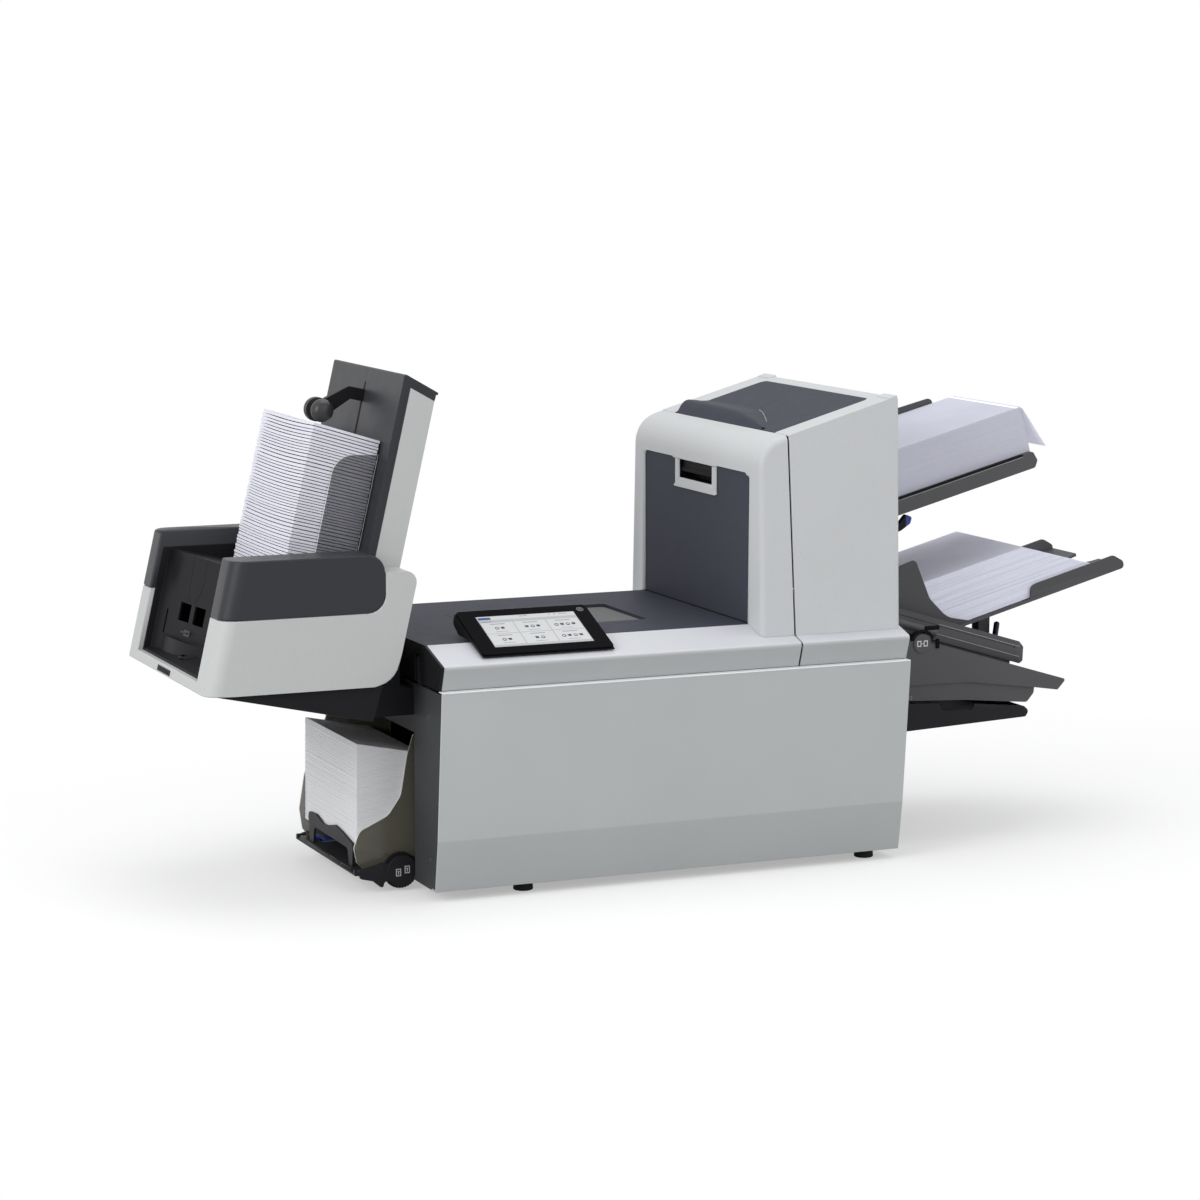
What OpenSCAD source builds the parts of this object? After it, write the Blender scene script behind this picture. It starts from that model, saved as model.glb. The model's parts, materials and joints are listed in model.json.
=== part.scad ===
// Table-top folder inserter: a clamshell body with a sheet tower, a tilted envelope stacker,
// an envelope hopper and stepped sheet feeders. Millimetres, +Z up, X along the machine,
// Y to the back, standing on Z = 0 with the origin under the middle of its length.

/* [Base] */
// Length of the base from its left end to its right end
body_l = 752; // [720:2:790]
// Widest width, across the two trims
belt_w = 538; // [510:2:570]
// Height of the rubber feet
foot_h = 16; // [10:1:24]
// Radius of a rubber foot
foot_r = 15; // [10:1:20]
// Distance of the feet from the ends of the base
foot_inset = 60; // [40:1:120]
// Distance of the feet from the long edges under the base
foot_in = 36; // [24:1:60]
// Height of the front panel's lip above the desk
panel_top = 311; // [300:1:320]
// How far the foot of the panel stands in from its lip
panel_in = 28; // [15:1:40]
// Height of the crease above the foot of the panel
plinth_h = 76; // [50:1:110]
// Extra set-back of the panel below the crease
plinth_in = 5; // [0:0.5:10]
// Wall thickness of the outer covers
skin = 3; // [2:0.5:4]
// Thickness of the chassis sheet metal
plate = 3; // [2:0.5:4]
// Distance of each inner side frame from the widest line of the trims
frame_in = 71; // [63:1:75]

/* [Upper unit] */
// Gap between the panel's lip and the trim above it
trim_gap = 2; // [1.5:0.5:6]
// How far the lower edge of the trim stands in
trim_in = 13; // [8:1:20]
// Height of the trim below its crease
trim_h = 36; // [26:1:40]
// Rise from the crease to the deck
deck_rise = 22; // [16:1:28]
// Width of the flat deck
deck_w = 390; // [370:2:392]
// Thickness of the deck plate
deck_t = 4; // [3:0.5:6]
// Length of the shallow pocket in the deck
pocket_l = 268; // [200:2:300]
// Width of the shallow pocket in the deck
pocket_w = 170; // [120:2:200]
// Depth of the shallow pocket in the deck
pocket_d = 5; // [3:0.5:7]
// Radius of the clamshell's hinge pins
hinge_r = 4; // [3:0.5:5]
// Distance of the hinge axis from the left end
hinge_x = 10; // [9:0.5:12]

/* [Tower] */
// Length of the tower from its left face to its right face
tower_l = 231; // [216:1:256]
// Depth of the door from its face to the seam at the foot
door_d = 57; // [50:1:64]
// How far the seam leans towards the door at the roof
seam_lean = 8; // [0:1:12]
// Width of the gap in every seam of the tower
seam_gap = 3; // [2:0.5:4]
// Set-back of the tower's right face from the end of the base
tower_back = 6; // [4:1:10]
// How far the foot of the tower stands in from the widest line of the trims
tower_in = 26; // [22:1:33]
// How much each side of the tower leans in over its height
tower_taper = 13; // [7:1:21]
// Height of the roof above the desk at the left face
roof_z = 641; // [620:1:660]
// Slope of the roof in degrees
roof_slope = 16; // [10:0.5:20]
// Radius of the rounded top edge of the door
roof_round = 46; // [30:1:55]
// How far the dark panel of the door stands in from the edge of the deck
inset_in = 5; // [2:1:20]
// Height of the top of the dark panel
inset_top = 597; // [575:1:598]
// Width of the light bezel round the handle
bezel_w = 156; // [140:2:180]
// Height of the light bezel below the top of the panel
bezel_h = 46; // [40:1:60]
// Width of the handle recess
grip_w = 120; // [100:2:136]
// Height of the handle recess
grip_h = 29; // [22:1:34]
// Length of the lid along the roof
lid_l = 164; // [130:1:168]
// Half the width of the lid
lid_half = 181; // [160:1:195]

/* [Display] */
// Width of the display glass
glass_w = 205; // [180:1:230]
// Depth of the display glass
glass_d = 124; // [105:1:135]
// Tilt of the display in degrees
display_tilt = 22; // [16:0.5:26]
// Middle of the display from the left end
display_x = 171; // [150:1:220]
// Thickness of the display housing at its back
housing_t = 24; // [20:1:28]

/* [Stacker] */
// Lean of the pile and of the column in degrees
stack_tilt = 13; // [10:0.5:16]
// Width of the stacker
stacker_w = 424; // [400:2:440]
// Height of the underside of the stacker's shell
stacker_z = 318; // [314:1:330]
// Reach of the stacker to the left of the base
stacker_out = 331; // [300:1:350]
// Height of the light shell
shell_h = 107; // [90:1:115]
// Height of the dark hood on the shell
hood_h = 83; // [70:1:95]
// Thickness of the stacker's two arms
arm_w = 56; // [45:1:56]
// Width of the column
column_w = 314; // [290:2:318]
// Thickness of the column
column_t = 53; // [46:1:56]
// Height of the column above the platform
column_h = 312; // [290:1:330]
// Height of the pile of filled envelopes at the column, over the foot of the column's face
pile_h = 211; // [150:1:220]
// How much higher the pile is at its free edge
pile_rise = 8; // [0:1:12]
// Radius of the ball roller on the pile
ball_r = 18; // [12:0.5:20]

/* [Envelopes and sheets] */
// Length of an envelope
envelope_l = 241.3; // [225:0.1:246]
// Height of an envelope
envelope_h = 104.8; // [100:0.1:112]
// Width of a sheet
sheet_w = 215.9; // [205:0.1:220]
// Length of a sheet
sheet_l = 279.4; // [270:0.1:300]
// Thickness of each stack of sheets
sheets_t = 83; // [60:1:90]
// Height of the envelopes in the hopper
hopper_h = 158; // [120:1:164]

/* [Feeders] */
// Slope of the sheet trays in degrees
tray_tilt = 15; // [12:0.5:18]
// Height of the upper tray's floor at the tower
upper_z = 512; // [505:1:520]
// Height of the middle tray's floor at the tower
middle_z = 288; // [284:1:294]
// Length of the upper tray
upper_l = 309; // [295:1:330]
// Length of the middle tray
middle_l = 482; // [470:1:500]
// Thickness of the tray floors
tray_t = 5; // [4:0.5:6]
// How far the lowest sheet of the middle stack reaches past the top one
fan_out = 145; // [100:1:150]
// Radius of the feed rollers
feed_r = 18; // [14:0.5:20]
// Radius of all roller shafts
shaft_r = 4; // [3:0.5:5]
// Half the width of the insert feeder
insert_half = 160; // [150:1:170]
// Radius of the fold rollers
fold_r = 16; // [13:0.5:17]

/* [Fits] */
// Running clearance of a shaft in its bore
run_fit = 0.05; // [0.03:0.01:0.09]
// Clearance between pieces that seat on each other
seat = 0.2; // [0.1:0.05:0.3]
// Clearance between a guide and the paper that it holds
paper_fit = 0.5; // [0.3:0.1:1]

/* [Hidden] */
$fn = 48;
arc_steps = 6;
big = 2000;

half = belt_w / 2;
panel_h = panel_top - foot_h;
crease_y = half - panel_in * (1 - plinth_h / panel_h);
foot_y = half - panel_in - plinth_in;
crease_z = foot_h + plinth_h;
trim_z = panel_top + trim_gap;
belt_z = trim_z + trim_h;
deck_z = belt_z + deck_rise;
deck_half = deck_w / 2;
hinge_z = belt_z - 4;
path_z = trim_z - 2;
frame_top = trim_z - 3;
frame_y = half - frame_in;

tower_r = body_l - tower_back;
tower_x = tower_r - tower_l;
tower_foot = half - tower_in;
inset_half = deck_half - inset_in;
seam_x = tower_x + door_d;
shell_x = seam_x + seam_gap;
roof_at_seam = roof_z + (seam_x - tower_x) * tan(roof_slope);
lean_run = 300;
slope_k = deck_rise / (half - deck_half);
tower_foot_z = belt_z + (half - tower_foot) * slope_k;
inset_x = tower_x + skin;
lid_x = seam_x - seam_lean * (roof_at_seam - tower_foot_z) / lean_run;
grip_top = inset_top - 2;
grip_z = grip_top - grip_h / 2;

tray_right = body_l + middle_l * cos(tray_tilt);
mid_x = (tray_right - stacker_out) / 2;

// Rounded outlines: each point is [x, y, radius]
function unit(v) = v / norm(v);
function flat(p) = [p.x, p.y];
function corner(a, b, c, r) =
    r <= 0 ? [flat(b)] :
    let (p = unit(flat(a) - flat(b)),
         q = unit(flat(c) - flat(b)),
         opening = acos(max(-1, min(1, p * q))) / 2,
         centre = flat(b) + unit(p + q) * r / sin(opening),
         from = flat(b) + p * r / tan(opening) - centre,
         to = flat(b) + q * r / tan(opening) - centre,
         sweep = 180 - 2 * opening,
         way = from.x * to.y - from.y * to.x > 0 ? 1 : -1)
    [for (i = [0:arc_steps])
        let (t = way * sweep * i / arc_steps)
        centre + [from.x * cos(t) - from.y * sin(t), from.x * sin(t) + from.y * cos(t)]];
function soft(pts) =
    let (n = len(pts))
    [for (i = [0:n - 1]) each corner(pts[(i + n - 1) % n], pts[i], pts[(i + 1) % n], pts[i][2])];

// An outline in X and Z, drawn out along Y over the width w round the place y
module across(w, y = 0) translate([0, y + w / 2, 0]) rotate([90, 0, 0]) linear_extrude(w) children();
// An outline in Y and Z, drawn out along X over the length l from the place x
module lengthwise(l, x = 0) translate([x, 0, 0]) rotate([90, 0, 90]) linear_extrude(l) children();
// A shaft along Y of radius r between y0 and y1
module shaft(r, y0, y1) translate([0, y1, 0]) rotate([90, 0, 0]) cylinder(r = r, h = y1 - y0);
module block(x0, x1, y0, y1, z0, z1) translate([x0, y0, z0]) cube([x1 - x0, y1 - y0, z1 - z0]);
module both_sides() for (s = [-1, 1]) scale_y(s) children();
module scale_y(s) if (s > 0) children(); else mirror([0, 1, 0]) children();
module placed() translate([-mid_x, 0, 0]) children();

shell_grey = [0.72, 0.73, 0.73];
panel_grey = [0.66, 0.68, 0.68];
charcoal = [0.24, 0.24, 0.27];
soot = [0.12, 0.12, 0.13];
steel = [0.62, 0.63, 0.65];
paper_white = [0.9, 0.9, 0.94];
signal_blue = [0.18, 0.25, 0.6];
smoke = [0.3, 0.29, 0.27, 0.6];

// Base

// Half outline of the base's end, drawn in by the distance d from the outer faces
function end_side(d, low, high) = [
    [foot_y - d + (low - foot_h) / plinth_h * (crease_y - foot_y), low],
    [crease_y - d, crease_z],
    [half - d - (panel_top - high) / panel_h * panel_in, high]];

module end_outline(d, low, high) {
    side = end_side(d, low, high);
    polygon([for (p = side) p, for (i = [len(side) - 1:-1:0]) [-side[i].x, side[i].y]]);
}

hopper_mouth_w = 300;
hopper_mouth_top = 236;
floor_top = foot_h + skin;
hopper_mouth_z = floor_top + 3;
lug_y = frame_y - 40;
lug_w = 18;
fold_x = tower_x - 85;
fold_low_z = path_z - fold_r - seat;
fold_high_z = path_z + fold_r + seat;

module chassis() color(charcoal) difference() {
    union() {
        block(0, body_l, -foot_y + skin + flange_in + seat, foot_y - skin - flange_in - seat,
              foot_h, floor_top);
        for (x = [0, body_l - plate])
            lengthwise(plate, x) end_outline(skin + seat, floor_top, frame_top - 1);
        for (y = [-frame_y, frame_y])
            block(plate, body_l - plate, y - plate / 2, y + plate / 2, floor_top, frame_top);
        both_sides() hinge_lug();
    }
    block(-1, plate + 1, -hopper_mouth_w / 2, hopper_mouth_w / 2, hopper_mouth_z, hopper_mouth_top);
    block(-1, plate + 1, -exit_w / 2, exit_w / 2, exit_low, exit_high);
    block(-1, wheel_x + wheel_r + 2, -hopper_half - 9, -hopper_half + 8, foot_h - 1, hopper_mouth_z + 1);
    block(body_l - plate - 1, body_l + 1, -exit_w / 2, exit_w / 2, insert_mouth_low, insert_mouth_high);
    translate([fold_x, 0, fold_low_z]) shaft(shaft_r + run_fit, -big, big);
}
flange_in = 14;
exit_w = 250;
exit_low = 286;
exit_high = 304;
insert_mouth_low = 262;
insert_mouth_high = 302;
lug_r = 7;

// One ear of the clamshell's hinge with its pin
module hinge_lug() {
    translate([hinge_x, 0, hinge_z]) shaft(lug_r, lug_y, lug_y + lug_w);
    block(plate, hinge_x + lug_r, lug_y, lug_y + lug_w, frame_top - 40, hinge_z);
    translate([hinge_x, 0, hinge_z]) shaft(hinge_r, lug_y - lug_w - 3, lug_y);
}

module feet() color(soot)
    for (x = [foot_inset + 90, body_l - foot_inset + 19], y = [-foot_y + foot_in, foot_y - foot_in])
        translate([x, y, 0]) difference() {
            rotate_extrude() polygon(soft([[0, 0, 0], [foot_r, 0, 2], [foot_r - 1.5, foot_h, 0],
                                           [0, foot_h, 0]]));
            translate([0, 0, -1]) cylinder(r = foot_r / 3, h = 5);
        }

// Profile of one long panel: leaning face, crease, inward foot and rolled lip
module panel_profile() {
    outer = end_side(0, foot_h, panel_top);
    inner = end_side(skin, foot_h + skin, panel_top);
    polygon(concat(outer, [[half - skin, panel_top], inner[1], inner[0],
            [foot_y - skin - flange_in, foot_h + skin], [foot_y - skin - flange_in, foot_h]]));
}

module front_panel() color(panel_grey) mirror([0, 1, 0]) lengthwise(body_l) panel_profile();

inlet_x = body_l - 87;
inlet_l = 66;
inlet_z = 46;
inlet_h = 34;
vent_n = 9;
vent_x = inlet_x - 245;

module rear_panel() color(panel_grey) difference() {
    lengthwise(body_l) panel_profile();
    block(inlet_x, inlet_x + inlet_l, 0, big, inlet_z, inlet_z + inlet_h);
    for (i = [0:vent_n - 1])
        block(vent_x + i * 16, vent_x + i * 16 + 8, 0, big, 140, 220);
}

inlet_face = foot_y - 2;
inlet_deep = 32;
socket_w = 28;
rocker_w = 14;
rocker_x = inlet_x + inlet_l - 13;
rocker_z = inlet_z + inlet_h / 2;

module mains_inlet() color(soot) difference() {
    block(inlet_x + seat, inlet_x + inlet_l - seat, inlet_face - inlet_deep, inlet_face + 8,
          inlet_z + seat, inlet_z + inlet_h - seat);
    translate([inlet_x + 6, inlet_face + 9, inlet_z + 7]) rotate([90, 0, 0]) linear_extrude(25)
        polygon([[0, 0], [socket_w, 0], [socket_w, 13], [socket_w - 6, 20], [6, 20], [0, 13]]);
    block(rocker_x - rocker_w / 2, rocker_x + rocker_w / 2, inlet_face - 10, inlet_face + 9,
          rocker_z - 12, rocker_z + 12);
    translate([rocker_x, inlet_face, rocker_z]) rotate([0, 90, 0])
        cylinder(r = 2 + run_fit, h = rocker_w + 7, center = true);
}

module main_switch() color(soot) {
    translate([rocker_x, inlet_face, rocker_z]) rotate([0, 90, 0])
        cylinder(r = 2, h = rocker_w + 6, center = true);
    lengthwise(rocker_w - 1, rocker_x - rocker_w / 2 + 0.5)
        polygon([[inlet_face - 3, rocker_z - 8], [inlet_face - 3, rocker_z + 8],
            [inlet_face + 11, rocker_z + 10],
                 [inlet_face + 8, rocker_z], [inlet_face + 9, rocker_z - 10]]);
}

deck_low = path_z - 4;
idler_low = trim_z + 2;
fold_window = 2 * fold_r + 8;
fold_half = frame_y - 28;
rib_n = 9;

// Lower half of the paper path: a ribbed plate hung between the side frames
module path_deck() color(charcoal) difference() {
    inner = frame_y - plate / 2 - seat;
    union() {
        block(28, seam_x - 12, -inner, inner, deck_low - 3, deck_low);
        for (y = [-inner, inner - 2]) block(28, seam_x - 12, y, y + 2, deck_low - 24, deck_low - 3);
        for (i = [0:rib_n - 1])
            block(40, seam_x - 24, (i - (rib_n - 1) / 2) * 38 - 1.5, (i - (rib_n - 1) / 2) * 38 + 1.5,
                  deck_low, deck_low + 2.5);
        for (x = [60, seam_x - 60], y = [-frame_y + 38, frame_y - 50])
            block(x, x + 20, y, y + 12, deck_low - 1, idler_low - seat);
    }
    block(fold_x - fold_window / 2, fold_x + fold_window / 2, -fold_half, fold_half, deck_low - 10,
        deck_low + 10);
    translate([fold_x, 0, fold_low_z]) shaft(shaft_r + 3, -big, big);
}

// Fold roller: a shaft with a ground sleeve and gripping grooves
module fold_roller(z, reach) translate([fold_x, 0, z]) {
    shaft(shaft_r, -reach, reach);
    difference() {
        shaft(fold_r, -fold_half + 5, fold_half - 5);
        for (y = [-120:60:120]) translate([0, y, 0]) rotate([90, 0, 0]) rotate_extrude()
            translate([fold_r, 0]) circle(r = 2);
    }
}
module fold_roller_lower() color(steel) fold_roller(fold_low_z, frame_y + 5);
module fold_roller_upper() color(steel) fold_roller(fold_high_z, cheek_y + 3);

motor_x = 250;
motor_r = 38;
motor_l = 110;

module drive_motor() color(steel) translate([motor_x, 0, floor_top + motor_r + 6]) {
    shaft(motor_r, frame_y - plate / 2 - motor_l, frame_y - plate / 2);
    shaft(motor_r * 0.3, frame_y - plate / 2 - motor_l - 14, frame_y - plate / 2 - motor_l);
    block(-motor_r, motor_r, frame_y - plate / 2 - 90, frame_y - plate / 2 - 20, -motor_r - 6,
        -motor_r * 0.7);
}

// Upper unit

// Half outline of the trim, drawn in by the distance d
function trim_side(d) = [
    [half - trim_in - d, trim_z],
    [half - d, belt_z],
    [deck_half, deck_z - d]];

module trim_profile() {
    outer = trim_side(0);
    ledge = deck_half - 10;
    polygon([outer[0], outer[1], outer[2] + [seat, 0], [deck_half + seat, deck_z - deck_t],
             [ledge, deck_z - deck_t], [ledge, deck_z - deck_t - skin],
             [deck_half + 4, deck_z - deck_t - skin],
             [half - skin - 1, belt_z + (skin + 1) * slope_k - skin],
             [half - trim_in - skin, trim_z + skin],
             [half - trim_in - 34, trim_z + skin], [half - trim_in - 34, trim_z]]);
}

module upper_trims() color(shell_grey) both_sides()
    lengthwise(seam_x - seam_gap - end_t - seat, end_t + seat) trim_profile();

module feeder_trim() color(shell_grey) {
    both_sides() lengthwise(body_l - 2 - seam_x, seam_x) trim_profile();
    lengthwise(skin, body_l - 2 - skin)
        polygon(concat([for (p = trim_side(skin)) p + [0, p.y < belt_z ? skin - 1 : 0]],
                       [for (i = [2:-1:0]) let (p = trim_side(skin)[i]) [-p.x,
                       p.y + (i == 0 ? skin - 1 : 0)]]));
    block(seam_x, body_l - 2 - skin, -deck_half + 9, deck_half - 9, deck_z - deck_t - skin,
        deck_z - deck_t);
}

end_t = 4;

module upper_end_cap() color(charcoal) difference() {
    union() {
        lengthwise(end_t) polygon(concat(trim_side(0),
            [for (i = [2:-1:0]) let (p = trim_side(0)[i]) [-p.x, p.y]]));
        both_sides() {
            translate([hinge_x, 0, hinge_z]) shaft(lug_r, lug_y - lug_w - 2, lug_y - 1);
            block(end_t - 1, hinge_x, lug_y - lug_w - 2, lug_y - 1, hinge_z - lug_r, hinge_z + lug_r);
        }
    }
    both_sides() {
        block(-1, hinge_x, lug_y - 0.6, lug_y + lug_w + 0.6, trim_z - 1, hinge_z + lug_r + 3);
        translate([hinge_x, 0, hinge_z]) shaft(hinge_r + run_fit, lug_y - 2 * lug_w, lug_y + lug_w);
    }
}

pocket_x = 130;
pocket_y = -90;
pivot_y = -deck_half + 15;
pivot_z = deck_z + 9;
pivot_r = 3;
pivot_span = 60;

// Dark deck with its shallow pocket and the two ears of the display's pivot
module top_cover() color(charcoal) difference() {
    union() {
        block(end_t + seat, inset_x - seat, -deck_half, deck_half, deck_z - deck_t, deck_z);
        block(pocket_x - 4, pocket_x + pocket_l + 4, pocket_y - 4, pocket_y + pocket_w + 4,
              deck_z - deck_t - pocket_d, deck_z - deck_t);
        for (x = [display_x - pivot_span, display_x + pivot_span - 12])
            lengthwise(12, x) polygon(soft([[pivot_y - 14, deck_z, 0], [pivot_y + 14, deck_z, 0],
                [pivot_y + 5, pivot_z + 5, 4.5], [pivot_y - 5, pivot_z + 5, 4.5]]));
    }
    translate([pocket_x, pocket_y, deck_z - pocket_d]) linear_extrude(big)
        polygon(soft([[0, 0, 8], [pocket_l, 0, 8], [pocket_l, pocket_w, 8], [0, pocket_w, 8]]));
    translate([0, pivot_y, pivot_z]) rotate([0, 90, 0]) cylinder(r = pivot_r + run_fit, h = tower_x);
}

cheek_y = frame_y - 26;

// Inner plate of the upper unit with two cheeks that carry the upper fold roller
module idler_plate() color(soot) difference() {
    union() {
        block(36, seam_x - 14, -cheek_y, cheek_y, idler_low, idler_low + 3);
        for (y = [-cheek_y - 3, cheek_y])
            block(36, seam_x - 14, y, y + 3, idler_low, deck_z - deck_t);
    }
    block(fold_x - fold_window / 2, fold_x + fold_window / 2, -fold_half, fold_half, trim_z, trim_z + 10);
    translate([fold_x, 0, fold_high_z]) shaft(shaft_r + run_fit, -big, big);
    block(tower_x - 4, big, -big, big, trim_z + 20, big);
}

// Tower

// Cross-section of the tower, drawn in by the distance d
module tower_section(d, foot) {
    k = tower_taper / lean_run;
    polygon([for (s = [1, -1]) each (s > 0 ?
        [[-tower_foot + d, tower_foot_z + foot], [-deck_half - foot - 2, deck_z + foot],
        [deck_half + foot + 2, deck_z + foot],
         [tower_foot - d, tower_foot_z + foot]] :
        [[tower_foot - d - k * (big - tower_foot_z) / 3, tower_foot_z + (big - tower_foot_z) / 3],
         [-tower_foot + d + k * (big - tower_foot_z) / 3, tower_foot_z + (big - tower_foot_z) / 3]])]);
}

function seam_at(z) = seam_x - seam_gap - seam_lean * (z - tower_foot_z) / lean_run;

// Side outline of the door, drawn in by the distance d from the face and the roof
module door_side(d, low) {
    top = roof_at_seam - seam_lean * tan(roof_slope) - d / cos(roof_slope);
    left = tower_x + d;
    polygon(soft([[left, low, 0], [seam_at(low), low, 0], [seam_at(top), top, 0],
                  [left, roof_z - d / cos(roof_slope) + d * tan(roof_slope), roof_round - d]]));
}

module inset_outline(grow) {
    low = deck_z - 5 - grow;
    r = 10;
    polygon(soft([[-inset_half - grow, low, 0], [inset_half + grow, low, 0],
        [inset_half + grow, inset_top + grow, r], [bezel_w / 2 - grow, inset_top + grow, r / 2],
        [bezel_w / 2 - grow, inset_top - bezel_h + grow, r / 2],
        [-bezel_w / 2 + grow, inset_top - bezel_h + grow, r / 2],
        [-bezel_w / 2 + grow, inset_top + grow, r / 2], [-inset_half - grow, inset_top + grow, r]]));
}

module tower_door() color(shell_grey) difference() {
    intersection() {
        across(big) door_side(0, tower_foot_z - 20);
        lengthwise(big) tower_section(0, seat);
    }
    intersection() {
        across(big) door_side_open(skin);
        lengthwise(big) tower_section(skin, -60);
    }
    lengthwise(skin + 2, tower_x - 1) inset_outline(0);
    block(tower_x - 1, inset_x + 1, -grip_w / 2, grip_w / 2, grip_top - grip_h, grip_top);
}

// Hollow of the door: runs out past the seam so that the right side stays open
module door_side_open(d) {
    top = roof_at_seam - d / cos(roof_slope);
    left = tower_x + d;
    polygon(soft([[left, tower_foot_z - 30, 0], [seam_x + 40, tower_foot_z - 30, 0],
        [seam_x + 40, top + 40 * tan(roof_slope), 0],
        [left, roof_z - d / cos(roof_slope) + d * tan(roof_slope), roof_round - d]]));
}

cup_d = 24;
cup_t = 4;

module door_panel() color(charcoal) difference() {
    union() {
        lengthwise(skin, inset_x) polygon([[-inset_half - 5, deck_z - deck_t + seat],
            [inset_half + 5, deck_z - deck_t + seat],
            [inset_half + 5, inset_top + 5], [-inset_half - 5, inset_top + 5]]);
        block(inset_x, inset_x + cup_d, -grip_w / 2 - cup_t, grip_w / 2 + cup_t,
              grip_top - grip_h - cup_t, grip_top + cup_t);
    }
    block(inset_x - 1, inset_x + cup_d - cup_t, -grip_w / 2, grip_w / 2, grip_top - grip_h, grip_top);
    translate([flap_x, 0, flap_z]) shaft(flap_r + run_fit, -big, big);
}

flap_r = 2;
flap_x = inset_x + 7;
flap_z = grip_top - 4.5;

// Paddle handle that frees the upper unit
module unlock_handle() color(soot) {
    translate([flap_x, 0, flap_z]) shaft(flap_r, -grip_w / 2 - 3, grip_w / 2 + 3);
    across(grip_w - 3) polygon(soft([[flap_x - 2.5, flap_z + 3, 1], [flap_x + 2.5, flap_z + 3, 1],
        [flap_x + 2, flap_z - grip_h + 15, 1.5], [flap_x - 5, flap_z - grip_h + 14, 1.5],
        [flap_x - 5, flap_z - grip_h + 18, 1.5], [flap_x - 2.5, flap_z - 6, 2]]));
}

function shell_seam(z) = seam_at(z) + seam_gap;
roof_end = roof_z + (tower_r - tower_x) * tan(roof_slope);

module shell_side(d, low) {
    k = tan(roof_slope);
    drop = d / cos(roof_slope);
    left = shell_seam(roof_at_seam);
    polygon(soft([[shell_seam(low), low, 0], [tower_r - d, low, 0],
        [tower_r - d, roof_end - d * k - drop, d > 0 ? 0 : 5],
                  [left, roof_z + (left - tower_x) * k - drop, 0]]));
}

// Keeps its children in the plane of the roof, with the origin at the lid's left edge
module on_roof() translate([lid_x, 0, roof_z + (lid_x - tower_x) * tan(roof_slope)])
    rotate([0, -roof_slope, 0]) children();

throat_half = 126;

module tower_shell() color(shell_grey) difference() {
    union() {
        difference() {
            intersection() {
                across(big) shell_side(0, tower_foot_z - 20);
                lengthwise(big) tower_section(0, seat);
            }
            intersection() {
                translate([-60, 0, 0]) across(big) shell_side_open(skin);
                lengthwise(big) tower_section(skin, -60);
            }
            on_roof() block(-40, lid_l + 0.6, -lid_half - 0.6, lid_half + 0.6, -30, 30);
        }
        lid_seats();
    }
    on_roof() translate([lid_hinge, 0, -lid_deep]) shaft(lid_pin + run_fit, -lid_half - 7, lid_half + 7);
    block(tower_r - skin - 1, tower_r + 1, -throat_half, throat_half, deck_z + 1, roof_end - 34);
}

module shell_side_open(d) {
    k = tan(roof_slope);
    drop = d / cos(roof_slope);
    polygon([[shell_x - 60, tower_foot_z - 30], [tower_r - d + 60, tower_foot_z - 30],
             [tower_r - d + 60, roof_end - d * k - drop],
             [shell_x - 60, roof_z + (shell_x - 120 - tower_x) * k - drop]]);
}

lid_t = 3;
lid_pin = 1.8;
lid_barrel = 3;
lid_hinge = lid_l - lid_barrel;
lid_deep = 2;

// Lid with a raised finger lip along its left edge and a hinge barrel along its right edge
module tower_lid() color(charcoal) on_roof() {
    block(seat, lid_hinge, -lid_half, lid_half, -lid_t, 0);
    intersection() {
        across(2 * lid_half - 8) polygon(soft([[seat, -1, 0], [3, 13, 2], [9, 14, 3], [36, -1, 0]]));
        lengthwise(60, -4) polygon(soft([[-lid_half + 22, -1, 0], [lid_half - 4, -1, 0],
            [lid_half - 4, 14, 4],
            [-lid_half + 160, 12, 130], [-lid_half + 22, -0.5, 0]]));
    }
    translate([lid_hinge, 0, -lid_deep]) shaft(lid_barrel, -lid_half, lid_half);
    translate([lid_hinge, 0, -lid_deep]) shaft(lid_pin, -lid_half - 6, lid_half + 6);
}

// Two ears in the roof that hold the lid's pins, and the ledges that the lid lies on
module lid_seats() on_roof() both_sides() {
    block(lid_hinge - 7, lid_hinge + 7, lid_half + 0.6, lid_half + 9, -lid_deep - 6, -0.5);
    block(4, lid_hinge - 10, lid_half - 5, lid_half + 2, -lid_t - 4, -lid_t - seat);
    block(4, lid_hinge - 10, lid_half + 0.6, lid_half + 2, -lid_t - 4, -lid_t + 1);
}

feed_u = 44;
feed_n = sheets_t + feed_r + 0.5;
cheek_half = 46;

module on_tray(z) translate([body_l, 0, z]) rotate([0, -tray_tilt, 0]) children();

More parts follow.
